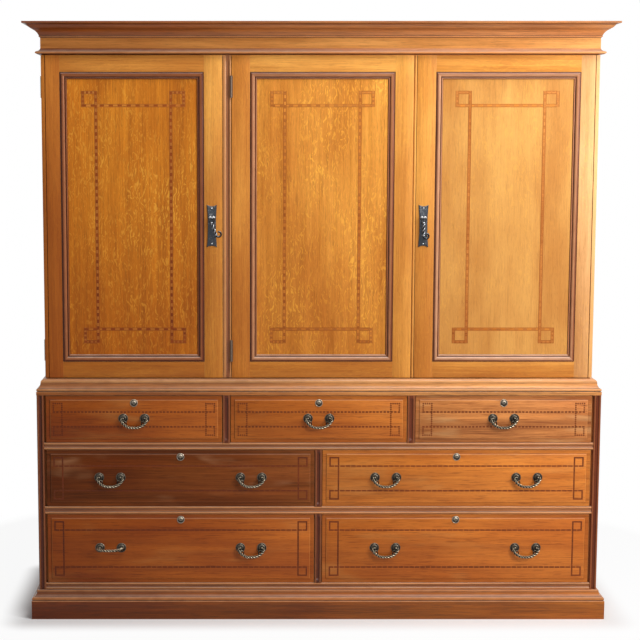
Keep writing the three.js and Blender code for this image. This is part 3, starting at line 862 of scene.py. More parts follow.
def plain_mesh(made: bpy.types.Object) -> bpy.types.Mesh:
    """Applies an object's modifiers.

    Args:
        made: The object.

    Returns:
        A new mesh of the same name.
    """
    bpy.context.view_layer.update()
    evaluated = made.evaluated_get(bpy.context.evaluated_depsgraph_get())
    mesh = bpy.data.meshes.new_from_object(evaluated)
    mesh.name = made.name
    return mesh


def fitted(made: bpy.types.Object, body: str, stands_for: tuple[str, ...] = (),
           crisp: float = 40.0) -> bpy.types.Object:
    """Smooths a finished object, puts it on its body and reports it.

    Args:
        made: The object, at the origin.
        body: The body that it moves with.
        stands_for: The nodes that it replaces.
        crisp: The angle in degrees from which an edge is shown sharp.

    Returns:
        The same object.
    """
    made.data.shade_smooth()
    made.data.set_sharp_from_angle(angle=math.radians(crisp))
    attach(made, body)
    if stands_for:
        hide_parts(*stands_for)
    log.info("%s rides on %s with %d faces", made.name, body, len(made.data.polygons))
    return made


def dress(node: str, finish: Material) -> None:
    """Gives a node of the frame a finish of its own.

    Args:
        node: The node's name.
        finish: Its material.
    """
    for slot in frame["nodes"][node].material_slots:
        slot.material = finish
    log.info("%s is dressed with %s", node, finish.name)


class GrownForm:
    """A Geometry Nodes tree that grows a mesh along paths."""

    def __init__(self, name: str, sizes: dict[str, float]) -> None:
        """Starts a tree.

        Args:
            name: What the tree is called.
            sizes: Its named inputs with their usual values.
        """
        self.tree = bpy.data.node_groups.new(name, "GeometryNodeTree")
        self.pen = Pen(self.tree)
        self.keys: dict[str, str] = {}
        faces = self.tree.interface
        faces.new_socket("Paths", in_out="INPUT", socket_type="NodeSocketGeometry")
        for label, value in sizes.items():
            made = faces.new_socket(label, in_out="INPUT", socket_type="NodeSocketFloat")
            made.default_value = value
            self.keys[label] = made.identifier
        made = faces.new_socket("Finish", in_out="INPUT", socket_type="NodeSocketMaterial")
        self.keys["Finish"] = made.identifier
        faces.new_socket("Mesh", in_out="OUTPUT", socket_type="NodeSocketGeometry")
        self.given = self.pen.node("NodeGroupInput").outputs

    @classmethod
    @functools.lru_cache(maxsize=None)
    def shared(cls) -> "GrownForm":
        """The one tree of this form."""
        return cls()

    def close(self, geometry: Socket) -> None:
        """Ends the tree with plain geometry in its finish.

        Args:
            geometry: What has grown.
        """
        real = self.pen.node("GeometryNodeRealizeInstances", {"Geometry": geometry})
        dressed = self.pen.node("GeometryNodeSetMaterial", {
            "Geometry": real.outputs[0], "Material": self.given["Finish"],
        })
        self.pen.node("NodeGroupOutput", {"Mesh": dressed.outputs[0]})

    def grow(self, name: str, paths: list[list[Vector]], finish: Material,
             girths: list[float] | None = None, **sizes: float) -> bpy.types.Object:
        """Grows the form along some paths.

        Args:
            name: The name of the object.
            paths: The points of each path.
            finish: The material of what grows.
            girths: How thick the form is at each point of the paths, 1 being its full size.
            sizes: Values for the tree's inputs.

        Returns:
            An object with a plain mesh.
        """
        line = bpy.data.meshes.new(f"{name}_path")
        points = [point for path in paths for point in path]
        edges, start = [], 0
        for path in paths:
            edges += [(start + i, start + i + 1) for i in range(len(path) - 1)]
            start += len(path)
        line.from_pydata(points, edges, [])
        girth = line.attributes.new(GIRTH, "FLOAT", "POINT")
        girth.data.foreach_set("value", girths or [1.0] * len(points))
        stem = in_scene(name, line)
        growth = stem.modifiers.new("growth", "NODES")
        growth.node_group = self.tree
        for label, value in {**sizes, "Finish": finish}.items():
            growth[self.keys[label]] = value
        mesh = plain_mesh(stem)
        bpy.data.objects.remove(stem)
        return in_scene(mesh.name, mesh)


class RopeForm(GrownForm):
    """Twisted strands that follow a path."""

    def __init__(self) -> None:
        """Builds the tree: a lobed section, turned as it goes along the path."""
        super().__init__("twisted_rope", {"Radius": 3 * MM, "Pitch": 12 * MM, "Strands": 3.0,
                                          "Depth": 0.2, "Step": 1 * MM})
        pen, given = self.pen, self.given
        around = 18
        ring = pen.node("GeometryNodeCurvePrimitiveCircle", {
            "Resolution": around, "Radius": given["Radius"],
        }).outputs[0]
        turn = pen.math("MULTIPLY", pen.node("GeometryNodeInputIndex").outputs[0],
                        2 * math.pi / around)
        lobes = pen.math("COSINE", pen.math("MULTIPLY", turn, given["Strands"]))
        swell = pen.math("ADD", 1.0, pen.math("MULTIPLY", lobes, given["Depth"]))
        place = pen.node("ShaderNodeVectorMath", {
            0: pen.node("GeometryNodeInputPosition").outputs[0], "Scale": swell,
        }, operation="SCALE").outputs[0]
        ring = pen.node("GeometryNodeSetPosition", {"Geometry": ring, "Position": place}).outputs[0]
        # Crests of the strands are marked as worn and the grooves as grimy, which paints a
        # highlight on the crests and shade in the grooves.
        ring = pen.node("GeometryNodeStoreNamedAttribute", {
            "Geometry": ring, "Name": WEAR_AND_SHADING, "Value": lobes,
        }, data_type="FLOAT", domain="POINT").outputs[0]
        path = pen.node("GeometryNodeMeshToCurve", {"Mesh": given["Paths"]}).outputs[0]
        path = pen.node("GeometryNodeResampleCurve", {"Curve": path, "Length": given["Step"]},
                        mode="LENGTH").outputs[0]
        along = pen.node("GeometryNodeSplineParameter").outputs["Length"]
        tilt = pen.math("MULTIPLY", pen.math("DIVIDE", along, given["Pitch"]), 2 * math.pi)
        path = pen.node("GeometryNodeSetCurveTilt", {"Curve": path, "Tilt": tilt}).outputs[0]
        girth = pen.node("GeometryNodeInputNamedAttribute", {"Name": GIRTH}, data_type="FLOAT")
        rope = pen.node("GeometryNodeCurveToMesh", {
            "Curve": path, "Profile Curve": ring, "Scale": girth.outputs[0], "Fill Caps": True,
        })
        self.close(rope.outputs[0])


class TileForm(GrownForm):
    """Small tiles laid along paths with gaps between, as in chequered banding."""

    def __init__(self) -> None:
        """Builds the tree: a tile at each step along the path."""
        super().__init__("inlay_tiles", {"Pitch": 8 * MM, "Length": 4 * MM, "Width": 4 * MM,
                                         "Thickness": 0.4 * MM})
        pen, given = self.pen, self.given
        path = pen.node("GeometryNodeMeshToCurve", {"Mesh": given["Paths"]}).outputs[0]
        stops = pen.node("GeometryNodeCurveToPoints", {
            "Curve": path, "Length": given["Pitch"],
        }, mode="LENGTH")
        size = pen.node("ShaderNodeCombineXYZ", {
            0: given["Length"], 1: given["Thickness"], 2: given["Width"],
        }).outputs[0]
        tile = pen.node("GeometryNodeMeshCube", {"Size": size}).outputs[0]
        turn = pen.node("FunctionNodeAlignRotationToVector", {"Vector": stops.outputs["Tangent"]},
                        axis="X", pivot_axis="Y").outputs[0]
        tiles = pen.node("GeometryNodeInstanceOnPoints", {
            "Points": stops.outputs["Points"], "Instance": tile, "Rotation": turn,
        })
        self.close(tiles.outputs[0])


def run_round(piece: Piece, section: Section, box: Box, projection: float, wood: Wood,
              board: int = 0) -> None:
    """Runs a moulding round the sides and the front of the case.

    Args:
        piece: The piece to add it to.
        section: The moulding.
        box: The case with its mouldings.
        projection: How far inside that box the section's zero is, in metres.
        wood: The finish of the moulding.
        board: Which board of that wood it is made from.
    """
    half, front, back, foot = box.hi.x - projection, box.lo.y + projection, box.hi.y, box.lo.z
    stations = [
        (Vector((-half, back, foot)), Vector((-1, 0, 0))),
        (Vector((-half, front, foot)), Vector((-1, -1, 0))),
        (Vector((half, front, foot)), Vector((1, -1, 0))),
        (Vector((half, back, foot)), Vector((1, 0, 0))),
    ]
    sides, face = wood.cut(Grain.DEEP, board), wood.cut(Grain.ACROSS, board)
    piece.run(section, stations, UP, [sides, face, sides])


def double_bead(width: float, depth: float, bead: float = 7.0, age: float = -0.3,
                last: float | None = None) -> Section:
    """The section of a rail or strip with a bead at each edge and a hollow between.

    Args:
        width: How wide its face is, in millimetres.
        depth: How deep it is.
        bead: How wide each bead is.
        age: How the hollow is marked, grimy with painted shade where negative.
        last: How wide the second bead is, if it has a width of its own.

    Returns:
        The section, with its face at 0 out.
    """
    lip, hollow = 2.2, 1.6
    end = width - (last or bead)
    # The beads are marked as worn, with a painted highlight, and the quirks beside them as grimy,
    # with painted shade.
    section = Section(-depth, 0).line(-lip, 0).curve(-lip, bead, lip / bead, age=0.5)
    section.line(-lip - 1.2, bead + 0.3, age=-1).line(-lip - 0.8, bead + 1, age=-1)
    section.curve(-lip - 0.8, end - 1, -hollow / (end - bead - 2), age=age)
    section.line(-lip - 1.2, end - 0.3, age=-1).line(-lip, end, age=-1)
    return section.curve(-lip, width, lip / (width - end), age=0.5).line(-depth, width)


def board_section(width: float, depth: float, edge: EdgeForm = EdgeForm.PLAIN) -> Section:
    """The section of a flat board with its front arrises eased.

    Args:
        width: How wide its face is, in millimetres.
        depth: How thick it is.
        edge: How its first edge is worked.

    Returns:
        The section, with its face at 0 out.
    """
    ease, bead, quirk = 0.7, 9.0, 13.7
    if edge is EdgeForm.BEAD:
        section = Section(-depth, 0).line(-3.2, 0).curve(-3.2, bead, 0.35).line(-3.4, bead + 0.6)
        section.line(-ease, bead + 1).curve(0, bead + 1 + ease, 0.2, 2)
    else:
        section = Section(-depth, 0).line(-ease, 0).curve(0, ease, 0.2, 2)
    if edge is EdgeForm.QUIRK:
        section.line(0, quirk - 1.4).line(-2, quirk).line(0, quirk + 1.4)
    return section.line(0, width - ease).curve(-ease, width, 0.2, 2).line(-depth, width)


def smooth_path(points: list[Vector], steps: int = 8) -> list[Vector]:
    """Rounds a path off.

    Args:
        points: The points that it goes through.
        steps: How many straight lengths there are between two of them.

    Returns:
        The points of the rounded path.
    """
    ends = [2 * points[0] - points[1], *points, 2 * points[-1] - points[-2]]
    path = []
    for a, b, c, d in zip(ends, ends[1:], ends[2:], ends[3:]):
        for step in range(steps):
            t = step / steps
            path.append(0.5 * (2 * b + (c - a) * t + (2 * a - 5 * b + 4 * c - d) * t ** 2
                               + (3 * b - a - 3 * c + d) * t ** 3))
    return [*path, points[-1]]


@dataclass
class Plinth:
    """The moulded frame that the chest stands on."""

    wood: Wood = PLINTH_WOOD
    projection: float = 25 * MM
    seat: float = 20 * MM

    def section(self) -> Section:
        """Draws the plinth's face with the base moulding on it.

        Returns:
            The section, measured from the chest's face and the floor.
        """
        # The values given with the sides paint highlights on the rounds and shade in the quirks,
        # besides marking worn and grimy places.
        section = Section(-20, 0).line(24, 0).curve(25, 1, 0.2, 2).line(25, 64)
        section.curve(23, 66.5, 0.25, 3, age=1).line(21.8, 67.2, age=-0.8)
        section.line(21.8, 68.4, age=-0.8).curve(16.5, 80, 0.34, 8, age=0.8)
        section.line(15.6, 81, age=-1).curve(7.8, 94.5, -0.14, 7, age=0.2).line(7, 95.2, age=-1)
        return section.curve(4, 102, 0.3, 5, age=0.7).line(-20, 102)

    def build(self) -> None:
        """Makes the plinth."""
        box = Box.of("plinth")
        piece = Piece("plinth_frame")
        run_round(piece, self.section(), box, self.projection, self.wood, 1)
        half = box.hi.x - self.projection - self.seat
        back = Box.between((-half, half), (box.hi.y - self.seat, box.hi.y), (box.lo.z, box.hi.z))
        piece.board(back, self.wood.cut(Grain.ACROSS, 2))
        piece.done("case", ("plinth",))


@dataclass
class ChestSide:
    """One side of the chest, with its moulded corner strip."""

    side: str
    wood: Wood = CASE_WOOD
    trim: Wood = STRIP_WOOD
    strip_width: float = 24.0
    strip_depth: float = 13.7

    def build(self) -> None:
        """Makes the side."""
        name = f"lower_side_{self.side}"
        box = Box.of(name)
        piece = Piece(f"chest_{self.side}_side")
        inwards = RIGHT if self.side == "left" else -RIGHT
        outer = box.lo.x if self.side == "left" else box.hi.x
        number = 1 if self.side == "left" else 2
        board = box.moved(y0=box.lo.y + self.strip_depth * MM)
        piece.board(board, self.wood.cut(Grain.UPRIGHT, number))
        stations = [(Vector((outer, box.lo.y, z)), FORWARD) for z in (box.lo.z, box.hi.z)]
        section = double_bead(self.strip_width, self.strip_depth)
        piece.run(section, stations, inwards, [self.trim.cut(Grain.UPRIGHT, number)])
        piece.done("case", (name,))


@dataclass
class RowBoard:
    """The board under a row of drawers, with its rail and the dividers that stand on it."""

    node: str
    drawers: tuple[str, ...]
    trim: Wood = MOULDING
    wood: Wood = INNER_WOOD
    divider_trim: Wood = STRIP_WOOD
    rail_depth: float = 13.7
    drawer_gap: float = 2 * MM
    drawer_foot: float = 1 * MM
    stop: float = 9 * MM

    def build(self) -> None:
        """Makes the board, the rail and the dividers."""
        box = Box.of(self.node)
        fronts = [Box.of(f"{name}_front") for name in self.drawers]
        floor = fronts[0].lo.z - self.drawer_foot
        behind = box.lo.y + self.rail_depth * MM
        piece = Piece(f"{self.node}_framing")
        inner = fronts[-1].hi.x + self.drawer_gap
        piece.board(Box.between((-inner, inner), (behind, box.hi.y), (box.lo.z, floor)),
                    self.wood.cut(Grain.ACROSS, 1), ease=0.3)
        rail = double_bead((floor - box.lo.z) / MM, self.rail_depth)
        stations = [(Vector((x, box.lo.y, box.lo.z)), FORWARD) for x in (box.lo.x, box.hi.x)]
        piece.run(rail, stations, UP, [self.trim.cut(Grain.ACROSS, len(self.drawers))])
        for before, after in zip(fronts, fronts[1:]):
            left, right = before.hi.x + self.drawer_gap, after.lo.x - self.drawer_gap
            piece.board(Box.between((left, right), (behind, box.hi.y), (floor, box.hi.z)),
                        self.wood.cut(Grain.DEEP, 2), ease=0.3)
            stopped_strip(piece, Vector((left, box.lo.y, floor)), box.hi.z,
                          double_bead((right - left) / MM, self.rail_depth),
                          self.divider_trim.cut(Grain.UPRIGHT, 3), self.stop)
        piece.done("case", (self.node,))


def stopped_strip(piece: Piece, foot: Vector, head: float, section: Section, finish: Material,
                  stop: float) -> None:
    """Adds an upright strip whose moulding is stopped short of both ends.

    Args:
        piece: The piece to add it to.
        foot: The strip's lower left corner, on its face.
        head: How high it reaches.
        section: The moulding, with up meaning across the strip.
        finish: Its material.
        stop: How far from each end the moulding starts.
    """
    flat, full = section.flattened(), 1.8 * stop
    levels = ((foot.z, flat), (foot.z + stop, flat), (foot.z + full, section),
              (head - full, section), (head - stop, flat), (head, flat))
    loops = [[Vector((foot.x, foot.y, z)) + FORWARD * out * MM + RIGHT * up * MM
              for out, up in shape.points] for z, shape in levels]
    piece.loft(loops, [finish], section.wear())


@dataclass
class Waist:
    """The moulded frame between the chest and the cupboard, with the chest's top."""

    wood: Wood = WAIST_WOOD
    projection: float = 2 * MM
    frame_width: float = 26.0
    top_thickness: float = 20 * MM
    back_width: float = 12.3 * MM

    def section(self) -> Section:
        """Draws the waist moulding, from its fascia to its top edge.

        Returns:
            The section.
        """
        inner = -self.frame_width
        # The values given with the sides paint highlights on the rounds and shade in the quirks,
        # besides marking worn and grimy places.
        section = Section(inner, 0).line(0, 0).line(0.6, 0.8).line(0.6, 11.6, age=-0.1)
        section.curve(-0.4, 12.8, 0.3, 3, age=0.9).line(-2.4, 13.4, age=-1).line(-2.4, 15.2, age=-1)
        section.curve(-2.8, 23, 0.4, 7, age=0.6).line(-4.6, 24.2, age=-1)
        section.curve(-13, 42, -0.12, 8, age=0.2).line(-13.6, 43.4, age=-0.9)
        section.curve(-22.5, 54, 0.22, 7, age=0.7).line(-23.4, 56, age=0.3)
        return section.line(inner, 56)

    def build(self) -> None:
        """Makes the waist."""
        box = Box.of("waist_frame")
        piece = Piece("waist_moulding")
        run_round(piece, self.section(), box, self.projection, self.wood, 4)
        inset = self.projection + self.frame_width * MM
        inner, behind = box.hi.x - inset, box.lo.y + inset
        under = box.hi.z - self.top_thickness
        top = Box.between((-inner, inner), (behind, box.hi.y), (under, box.hi.z))
        back = Box.between((-inner, inner), (box.hi.y - self.back_width, box.hi.y),
                           (box.lo.z, under))
        for board in (top, back):
            piece.board(board, self.wood.cut(Grain.ACROSS, 5), ease=0.0)
        piece.done("case", ("waist_frame",))


@dataclass
class Cornice:
    """The crown, the frieze and the astragal over the doors: one frame, open above."""

    wood: Wood = CROWN_WOOD
    frieze_wood: Wood = FRIEZE
    projection: float = 57 * MM
    seat: float = 20 * MM

    def crown(self) -> Section:
        """Draws the crown moulding, measured from the foot of the astragal.

        Returns:
            The section.
        """
        # The values given with the sides paint highlights on the rounds and shade in the quirks,
        # besides marking worn and grimy places.
        section = Section(-20, 57.5).line(1.7, 57.5).line(1.7, 59, age=-1)
        section.curve(4.2, 64, 0.4, 5, age=0.7)
        section.line(5, 65, age=-1).curve(24, 84.5, -0.1, 8, age=0.1).line(25.4, 85.6, age=-0.8)
        section.curve(40, 96.8, 0.06, 5).line(40.6, 97.6, age=-0.8)
        section.curve(50, 103, -0.12, 5, age=-0.3).line(56.4, 103.6, age=-0.8)
        section.line(57, 104.4).line(57, 109, age=-0.2)
        return section.curve(56, 110, 0.2, 2, age=-0.4).line(-20, 110)

    def astragal(self) -> Section:
        """Draws the astragal, a nosing with a cove that runs up to the frieze.

        Returns:
            The section.
        """
        # The values given with the sides paint highlights on the rounds and shade in the quirks,
        # besides marking worn and grimy places.
        section = Section(-20, 0).line(3, 0).line(7, 0.8, age=-0.9).curve(14, 3, 0.12, 3, age=-0.6)
        section.curve(14.6, 10, 0.42, 9, age=0.7).line(12.2, 11.6, age=-0.5)
        return section.curve(0.8, 21, -0.18, 6, age=-0.2).line(-20, 21)

    def build(self) -> None:
        """Makes the cornice."""
        box = Box.of("cornice")
        piece = Piece("cornice_frame")
        frieze = Section(-20, 21).line(0.6, 21).line(0.6, 57.5).line(-20, 57.5)
        for section, wood, board in ((self.crown(), self.wood, 6), (self.astragal(), self.wood, 6),
                                     (frieze, self.frieze_wood, 0)):
            run_round(piece, section, box, self.projection, wood, board)
        half = box.hi.x - self.projection - self.seat
        back = Box.between((-half, half), (box.hi.y - self.seat, box.hi.y), (box.lo.z, box.hi.z))
        piece.board(back, self.wood.cut(Grain.ACROSS, 7))
        piece.done("case", ("cornice",))


def hinge_notches(door: str) -> tuple[Box, ...]:
    """Measures the room that is cut round a door's knuckles.

    Args:
        door: Which door it is.

    Returns:
        A box for each hinge.
    """
    pin, reach = pivot_of(f"{door}_door"), KNUCKLE_RADIUS + SEAT_GAP
    hinges = [Box.of(f"{door}_door_hinge_{level}") for level in HINGE_LEVELS]
    return tuple(Box.between((pin.x - reach, pin.x + reach), (pin.y - reach, pin.y + reach),
                             (box.lo.z - SEAT_GAP, box.hi.z + SEAT_GAP)) for box in hinges)


def pivot_of(body: str) -> Vector:
    """Where the joint is that carries a body."""
    joints = frame["record"]["behaviour"]["joints"]
    return Vector(next(joint["pos_m"] for joint in joints if joint["child"] == body))


@dataclass
class BackBoards:
    """A back of upright boards laid edge to edge."""

    node: str
    wood: Wood = BACK_WOOD
    board_width: float = 160 * MM
    variants: int = 5

    def build(self) -> None:
        """Makes the boards."""
        box = Box.of(self.node)
        count = round((box.hi.x - box.lo.x) / self.board_width)
        width = (box.hi.x - box.lo.x) / count
        piece = Piece(f"{self.node}_boards")
        for i in range(count):
            board = box.moved(x0=box.lo.x + i * width, x1=box.lo.x + (i + 1) * width)
            piece.board(board, self.wood.cut(Grain.UPRIGHT, i % self.variants), ease=1.6)
        piece.done("case", (self.node,))


@dataclass
class Cupboard:
    """The cupboard's boards behind the doors, with the fixed strip between two of them."""

    strip_depth: float = 26.0
    strip_beads: Point = (11.0, 6.0)
    strip_stop: float = 14 * MM
    shelf_names: tuple[str, ...] = ("left_shelf_1", "left_shelf_2",
                                    "right_shelf_1", "right_shelf_2")

    def build(self) -> None:
        """Dresses the boards and makes the partition with its strip."""
        for number, side in enumerate(("upper_side_left", "upper_side_right")):
            dress(side, CASE_WOOD.cut(Grain.UPRIGHT, 3 + number))
        for back in ("upper_back", "lower_back"):
            BackBoards(back).build()
        for number, board in enumerate((*self.shelf_names, "upper_bottom", "upper_top")):
            dress(board, INNER_WOOD.cut(Grain.ACROSS, 5 + number))
        for door in ("left", "middle", "right"):
            for level in HINGE_LEVELS:
                dress(f"{door}_door_hinge_{level}", STEEL.cast())
        self._partition()

    def _partition(self) -> None:
        """Makes the partition board with the beaded strip on its front."""
        box = Box.of("upper_partition")
        doors = Box.of("middle_door_frame")
        front = doors.lo.y + Door.proud * MM
        carcase = front + self.strip_depth * MM
        shelf, bottom, top = Box.of("left_shelf_1"), Box.of("upper_bottom"), Box.of("upper_top")
        left = shelf.hi.x + SEAT_GAP
        right = Box.of("right_shelf_1").lo.x - SEAT_GAP
        board = Box.between((left, right), (carcase, box.hi.y),
                            (bottom.hi.z + SEAT_GAP, top.lo.z - SEAT_GAP))
        piece = Piece("partition_and_strip")
        piece.board(board, INNER_WOOD.cut(Grain.UPRIGHT, 12), ease=0.3)
        bead, last = self.strip_beads
        section = double_bead((box.hi.x - box.lo.x) / MM, self.strip_depth, bead, -0.45, last)
        stopped_strip(piece, Vector((box.lo.x, front, doors.lo.z)), doors.hi.z, section,
                      STRIP_OAK.cut(Grain.UPRIGHT, 8), self.strip_stop)
        piece.done("case", ("upper_partition",), notches=hinge_notches("middle"))


@dataclass
class CornerSquares:
    """The layout of an inlaid line: an oblong whose lines run on past each corner into a square."""

    edges: Box
    line_inset: float
    square_inset: float

    def paths(self, y: float) -> list[tuple[Vector, Vector]]:
        """The straight lengths of the layout.

        Args:
            y: The level of the face that it lies in.

        Returns:
            Each length from end to end, the upright ones a hair prouder where they cross.
        """
        far, near = self.square_inset * MM, self.line_inset * MM
        lo, hi = self.edges.lo, self.edges.hi
        lengths = []
        for z in (lo.z + near, hi.z - near):
            lengths.append(((lo.x + far, z), (hi.x - far, z)))
        for x in (lo.x + near, hi.x - near):
            lengths.append(((x, lo.z + far), (x, hi.z - far)))
        for x, inwards in ((lo.x, 1), (hi.x, -1)):
            for z, upwards in ((lo.z, 1), (hi.z, -1)):
                outer = (x + inwards * far, z + upwards * far)
                lengths.append((outer, (outer[0], z + upwards * near)))
                lengths.append((outer, (x + inwards * near, outer[1])))
        made = []
        for a, b in lengths:
            lift = 0.05 * MM if a[0] == b[0] else 0.0
            made.append((Vector((a[0], y - lift, a[1])), Vector((b[0], y - lift, b[1]))))
        return made


def drawn_in(lengths: list[tuple[Vector, Vector]], by: float) -> list[list[Vector]]:
    """Draws in both ends of some lengths.

    Args:
        lengths: Each length from end to end.
        by: How far each end is drawn in, in metres.

    Returns:
        The shorter lengths.
    """
    paths = []
    for start, end in lengths:
        step = (end - start).normalized() * by
        paths.append([start + step, end - step])
    return paths


@dataclass
class Door:
    """One of the three doors: frame, panel moulding, panel and chequered inlay.

    Attributes:
        side: Which door it is.
        panel_wood: The finish of its panel.
        shades: How light its left stile, right stile, bottom rail and top rail are.
        trim_shade: How light the moulding round its panel is.
        inlay_wood: The finish of the dark squares of its inlay.
        ground_wood: The ground of the inlay's uprights and squares.
        drift: How far the inlay's left and right sides stand to the right of even, in millimetres.
        left_edge: How the outer edge of its left stile is worked.
        right_edge: How the outer edge of its right stile is worked.
        faded_wood: The finish of its right stile, where that has bleached unlike the rest.
        frame_wood: The finish of its stiles and rails.
        trim: The finish of the moulding round its panel.
        thickness: How thick the frame is, in millimetres.
        recess: How far the panel lies behind the frame's face.
        band_inset: How far the inlay's long bands are from the frame.
        square_inset: How far the squares at its corners are from the frame.
        band_width: How wide its chequered band is.
        proud: How far the moulding stands out past the frame's face.
    """

    side: str
    panel_wood: Wood
    shades: tuple[float, float, float, float]
    trim_shade: float
    inlay_wood: Wood
    ground_wood: Wood
    drift: Point
    left_edge: EdgeForm = EdgeForm.PLAIN
    right_edge: EdgeForm = EdgeForm.PLAIN
    faded_wood: Wood | None = None
    frame_wood: Wood = DOOR_OAK
    trim: Wood = PANEL_TRIM
    thickness: float = 24.0
    recess: float = 6.0
    band_inset: float = 115.0
    square_inset: float = 70.0
    band_width: float = 7.0
    proud: ClassVar[float] = 4.0

    @property
    def body(self) -> str:
        """The body that the door moves with."""
        return f"{self.side}_door"

    def build(self) -> None:
        """Makes the door."""
        box, panel = Box.of(f"{self.body}_frame"), Box.of(f"{self.body}_panel")
        face = box.lo.y + self.proud * MM
        gap = SEAT_GAP
        sight = Box.between((panel.lo.x - gap, panel.hi.x + gap), (face, box.hi.y),
                            (panel.lo.z - gap, panel.hi.z + gap))
        dress(f"{self.body}_panel", self.panel_wood.cut(Grain.UPRIGHT, self.number()))
        self._frame(box, sight, face)
        self._moulding(sight, face)
        self._inlay(sight, panel.lo.y)

    def number(self) -> int:
        """The number of the boards that the door is made from."""
        return ("left", "middle", "right").index(self.side)

    def _frame(self, box: Box, sight: Box, face: float) -> None:
        """Joins the two stiles and the two rails.

        Args:
            box: The whole frame.
            sight: The opening that the panel shows in.
            face: The level of the frame's face.
        """
        piece = Piece(f"{self.body}_stiles_and_rails")
        number = 10 * self.number()
        for edge, start, end, across, shade, wood in (
            (self.left_edge, box.lo.x, sight.lo.x, RIGHT, self.shades[0], self.frame_wood),
            (self.right_edge, box.hi.x, sight.hi.x, -RIGHT, self.shades[1],
             self.faded_wood or self.frame_wood),
        ):
            section = board_section(abs(end - start) / MM, self.thickness, edge)
            stations = [(Vector((start, face, z)), FORWARD) for z in (box.lo.z, box.hi.z)]
            number += 1
            piece.run(section, stations, across, [wood.cut(Grain.UPRIGHT, number, shade)])
        for start, end, rise, shade in ((box.lo.z, sight.lo.z, UP, self.shades[2]),
                                        (box.hi.z, sight.hi.z, -UP, self.shades[3])):
            section = board_section(abs(end - start) / MM, self.thickness)
            stations = [(Vector((x, face, start)), FORWARD) for x in (sight.lo.x, sight.hi.x)]
            number += 1
            piece.run(section, stations, rise, [self.frame_wood.cut(Grain.ACROSS, number, shade)])
        piece.done(self.body, (f"{self.body}_frame",), notches=hinge_notches(self.side))

    def _moulding(self, sight: Box, face: float) -> None:
        """Runs the moulding round the panel.

        Args:
            sight: The opening that it runs round.
            face: The level of the frame's face.
        """
        back = SEAT_GAP / MM - self.recess
        # The values given with the sides paint a highlight on the beads and shade in the quirk and
        # at the edges, besides marking worn and grimy places.
        section = Section(0, back).line(0, 0.3).curve(3.4, 1.2, 0.12, 3, age=-1)
        section.curve(8, 3.9, -0.18, 4, age=-0.25).curve(16.6, -0.4, -0.2, 8, age=0.75)
        section.line(17.2, -3.4, age=-1).line(18.8, -3.7, age=-1)
        section.curve(23.4, -3.9, -0.42, 7, age=0.4).line(24.6, back, age=-1)
        corners = ((sight.lo.x, sight.lo.z, 1, 1), (sight.hi.x, sight.lo.z, -1, 1),
                   (sight.hi.x, sight.hi.z, -1, -1), (sight.lo.x, sight.hi.z, 1, -1))
        stations = [(Vector((x, face, z)), Vector((a, 0, b))) for x, z, a, b in corners]
        across, up = Grain.ACROSS, Grain.UPRIGHT
        # Each side of the moulding gets its own painted light level: lightest along the bottom,
        # then the left, then the top, darkest on the right.
        lit_and_shaded_sides = ((across, 1.15), (up, 0.75), (across, 0.85), (up, 1.0))
        finishes = [self.trim.cut(grain, 9 + self.number(), self.trim_shade * shade)
                    for grain, shade in lit_and_shaded_sides]
        piece = Piece(f"{self.body}_panel_moulding")
        piece.run(section, stations, FORWARD, finishes, closed=True)
        piece.done(self.body, (f"{self.body}_frame",))

    def _inlay(self, sight: Box, face: float) -> None:
        """Lets the chequered bands into the panel.

        Args:
            sight: The opening that the panel shows in.
            face: The level of the panel's face.
        """
        left, right = self.drift
        edges = sight.moved(x0=sight.lo.x + left * MM, x1=sight.hi.x + right * MM)
        layout = CornerSquares(edges, self.band_inset, self.square_inset)
        lengths = layout.paths(face)
        ground = Piece(f"{self.body}_inlay_ground")
        grounds = [PALE_INLAY] * 2 + [self.ground_wood] * 10
        for (start, end), wood in zip(lengths, grounds):
            self._band(ground, start, end, wood)
        ground.done(self.body)
        for part, chosen, pitch, length, shade in (("levels", lengths[:2], 29.0, 15.0, 1.0),
                                                   ("uprights", lengths[2:4], 23.0, 12.0, 0.85),
                                                   ("squares", lengths[4:], 13.0, 8.0, 1.0)):
            tiles = TileForm.shared().grow(
                f"{self.body}_inlay_{part}", drawn_in(chosen, (length - self.band_width) / 2 * MM),
                self.inlay_wood.cut(Grain.ACROSS, self.number(), shade), Pitch=pitch * MM,
                Length=length * MM, Width=self.band_width * MM, Thickness=0.36 * MM)
            fitted(tiles, self.body)

    def _band(self, piece: Piece, start: Vector, end: Vector, ground: Wood) -> None:
        """Adds one length of the band: its ground between two thin strings.

        Args:
            piece: The piece to add it to.
            start: Where its middle line starts.
            end: Where that line ends.
            ground: The finish of the ground.
        """
        upright = abs(end.z - start.z) > abs(end.x - start.x)
        grain, along, across = ((Grain.UPRIGHT, UP, RIGHT) if upright
                                else (Grain.ACROSS, RIGHT, UP))
        low, high = sorted((start, end), key=along.dot)
        sink, lift = 0.1, 0.12 if upright else 0.1
        inside, edge = 4, 5.6
        for inner, outer, wood in ((-inside, inside, ground), (-edge, -inside, STRING_INLAY),
                                   (inside, edge, STRING_INLAY)):
            board = Box(low + (across * inner - along * edge + FORWARD * lift) * MM,
                        high + (across * outer + along * edge - FORWARD * sink) * MM)
            piece.board(board, wood.cut(grain), ease=0.0)


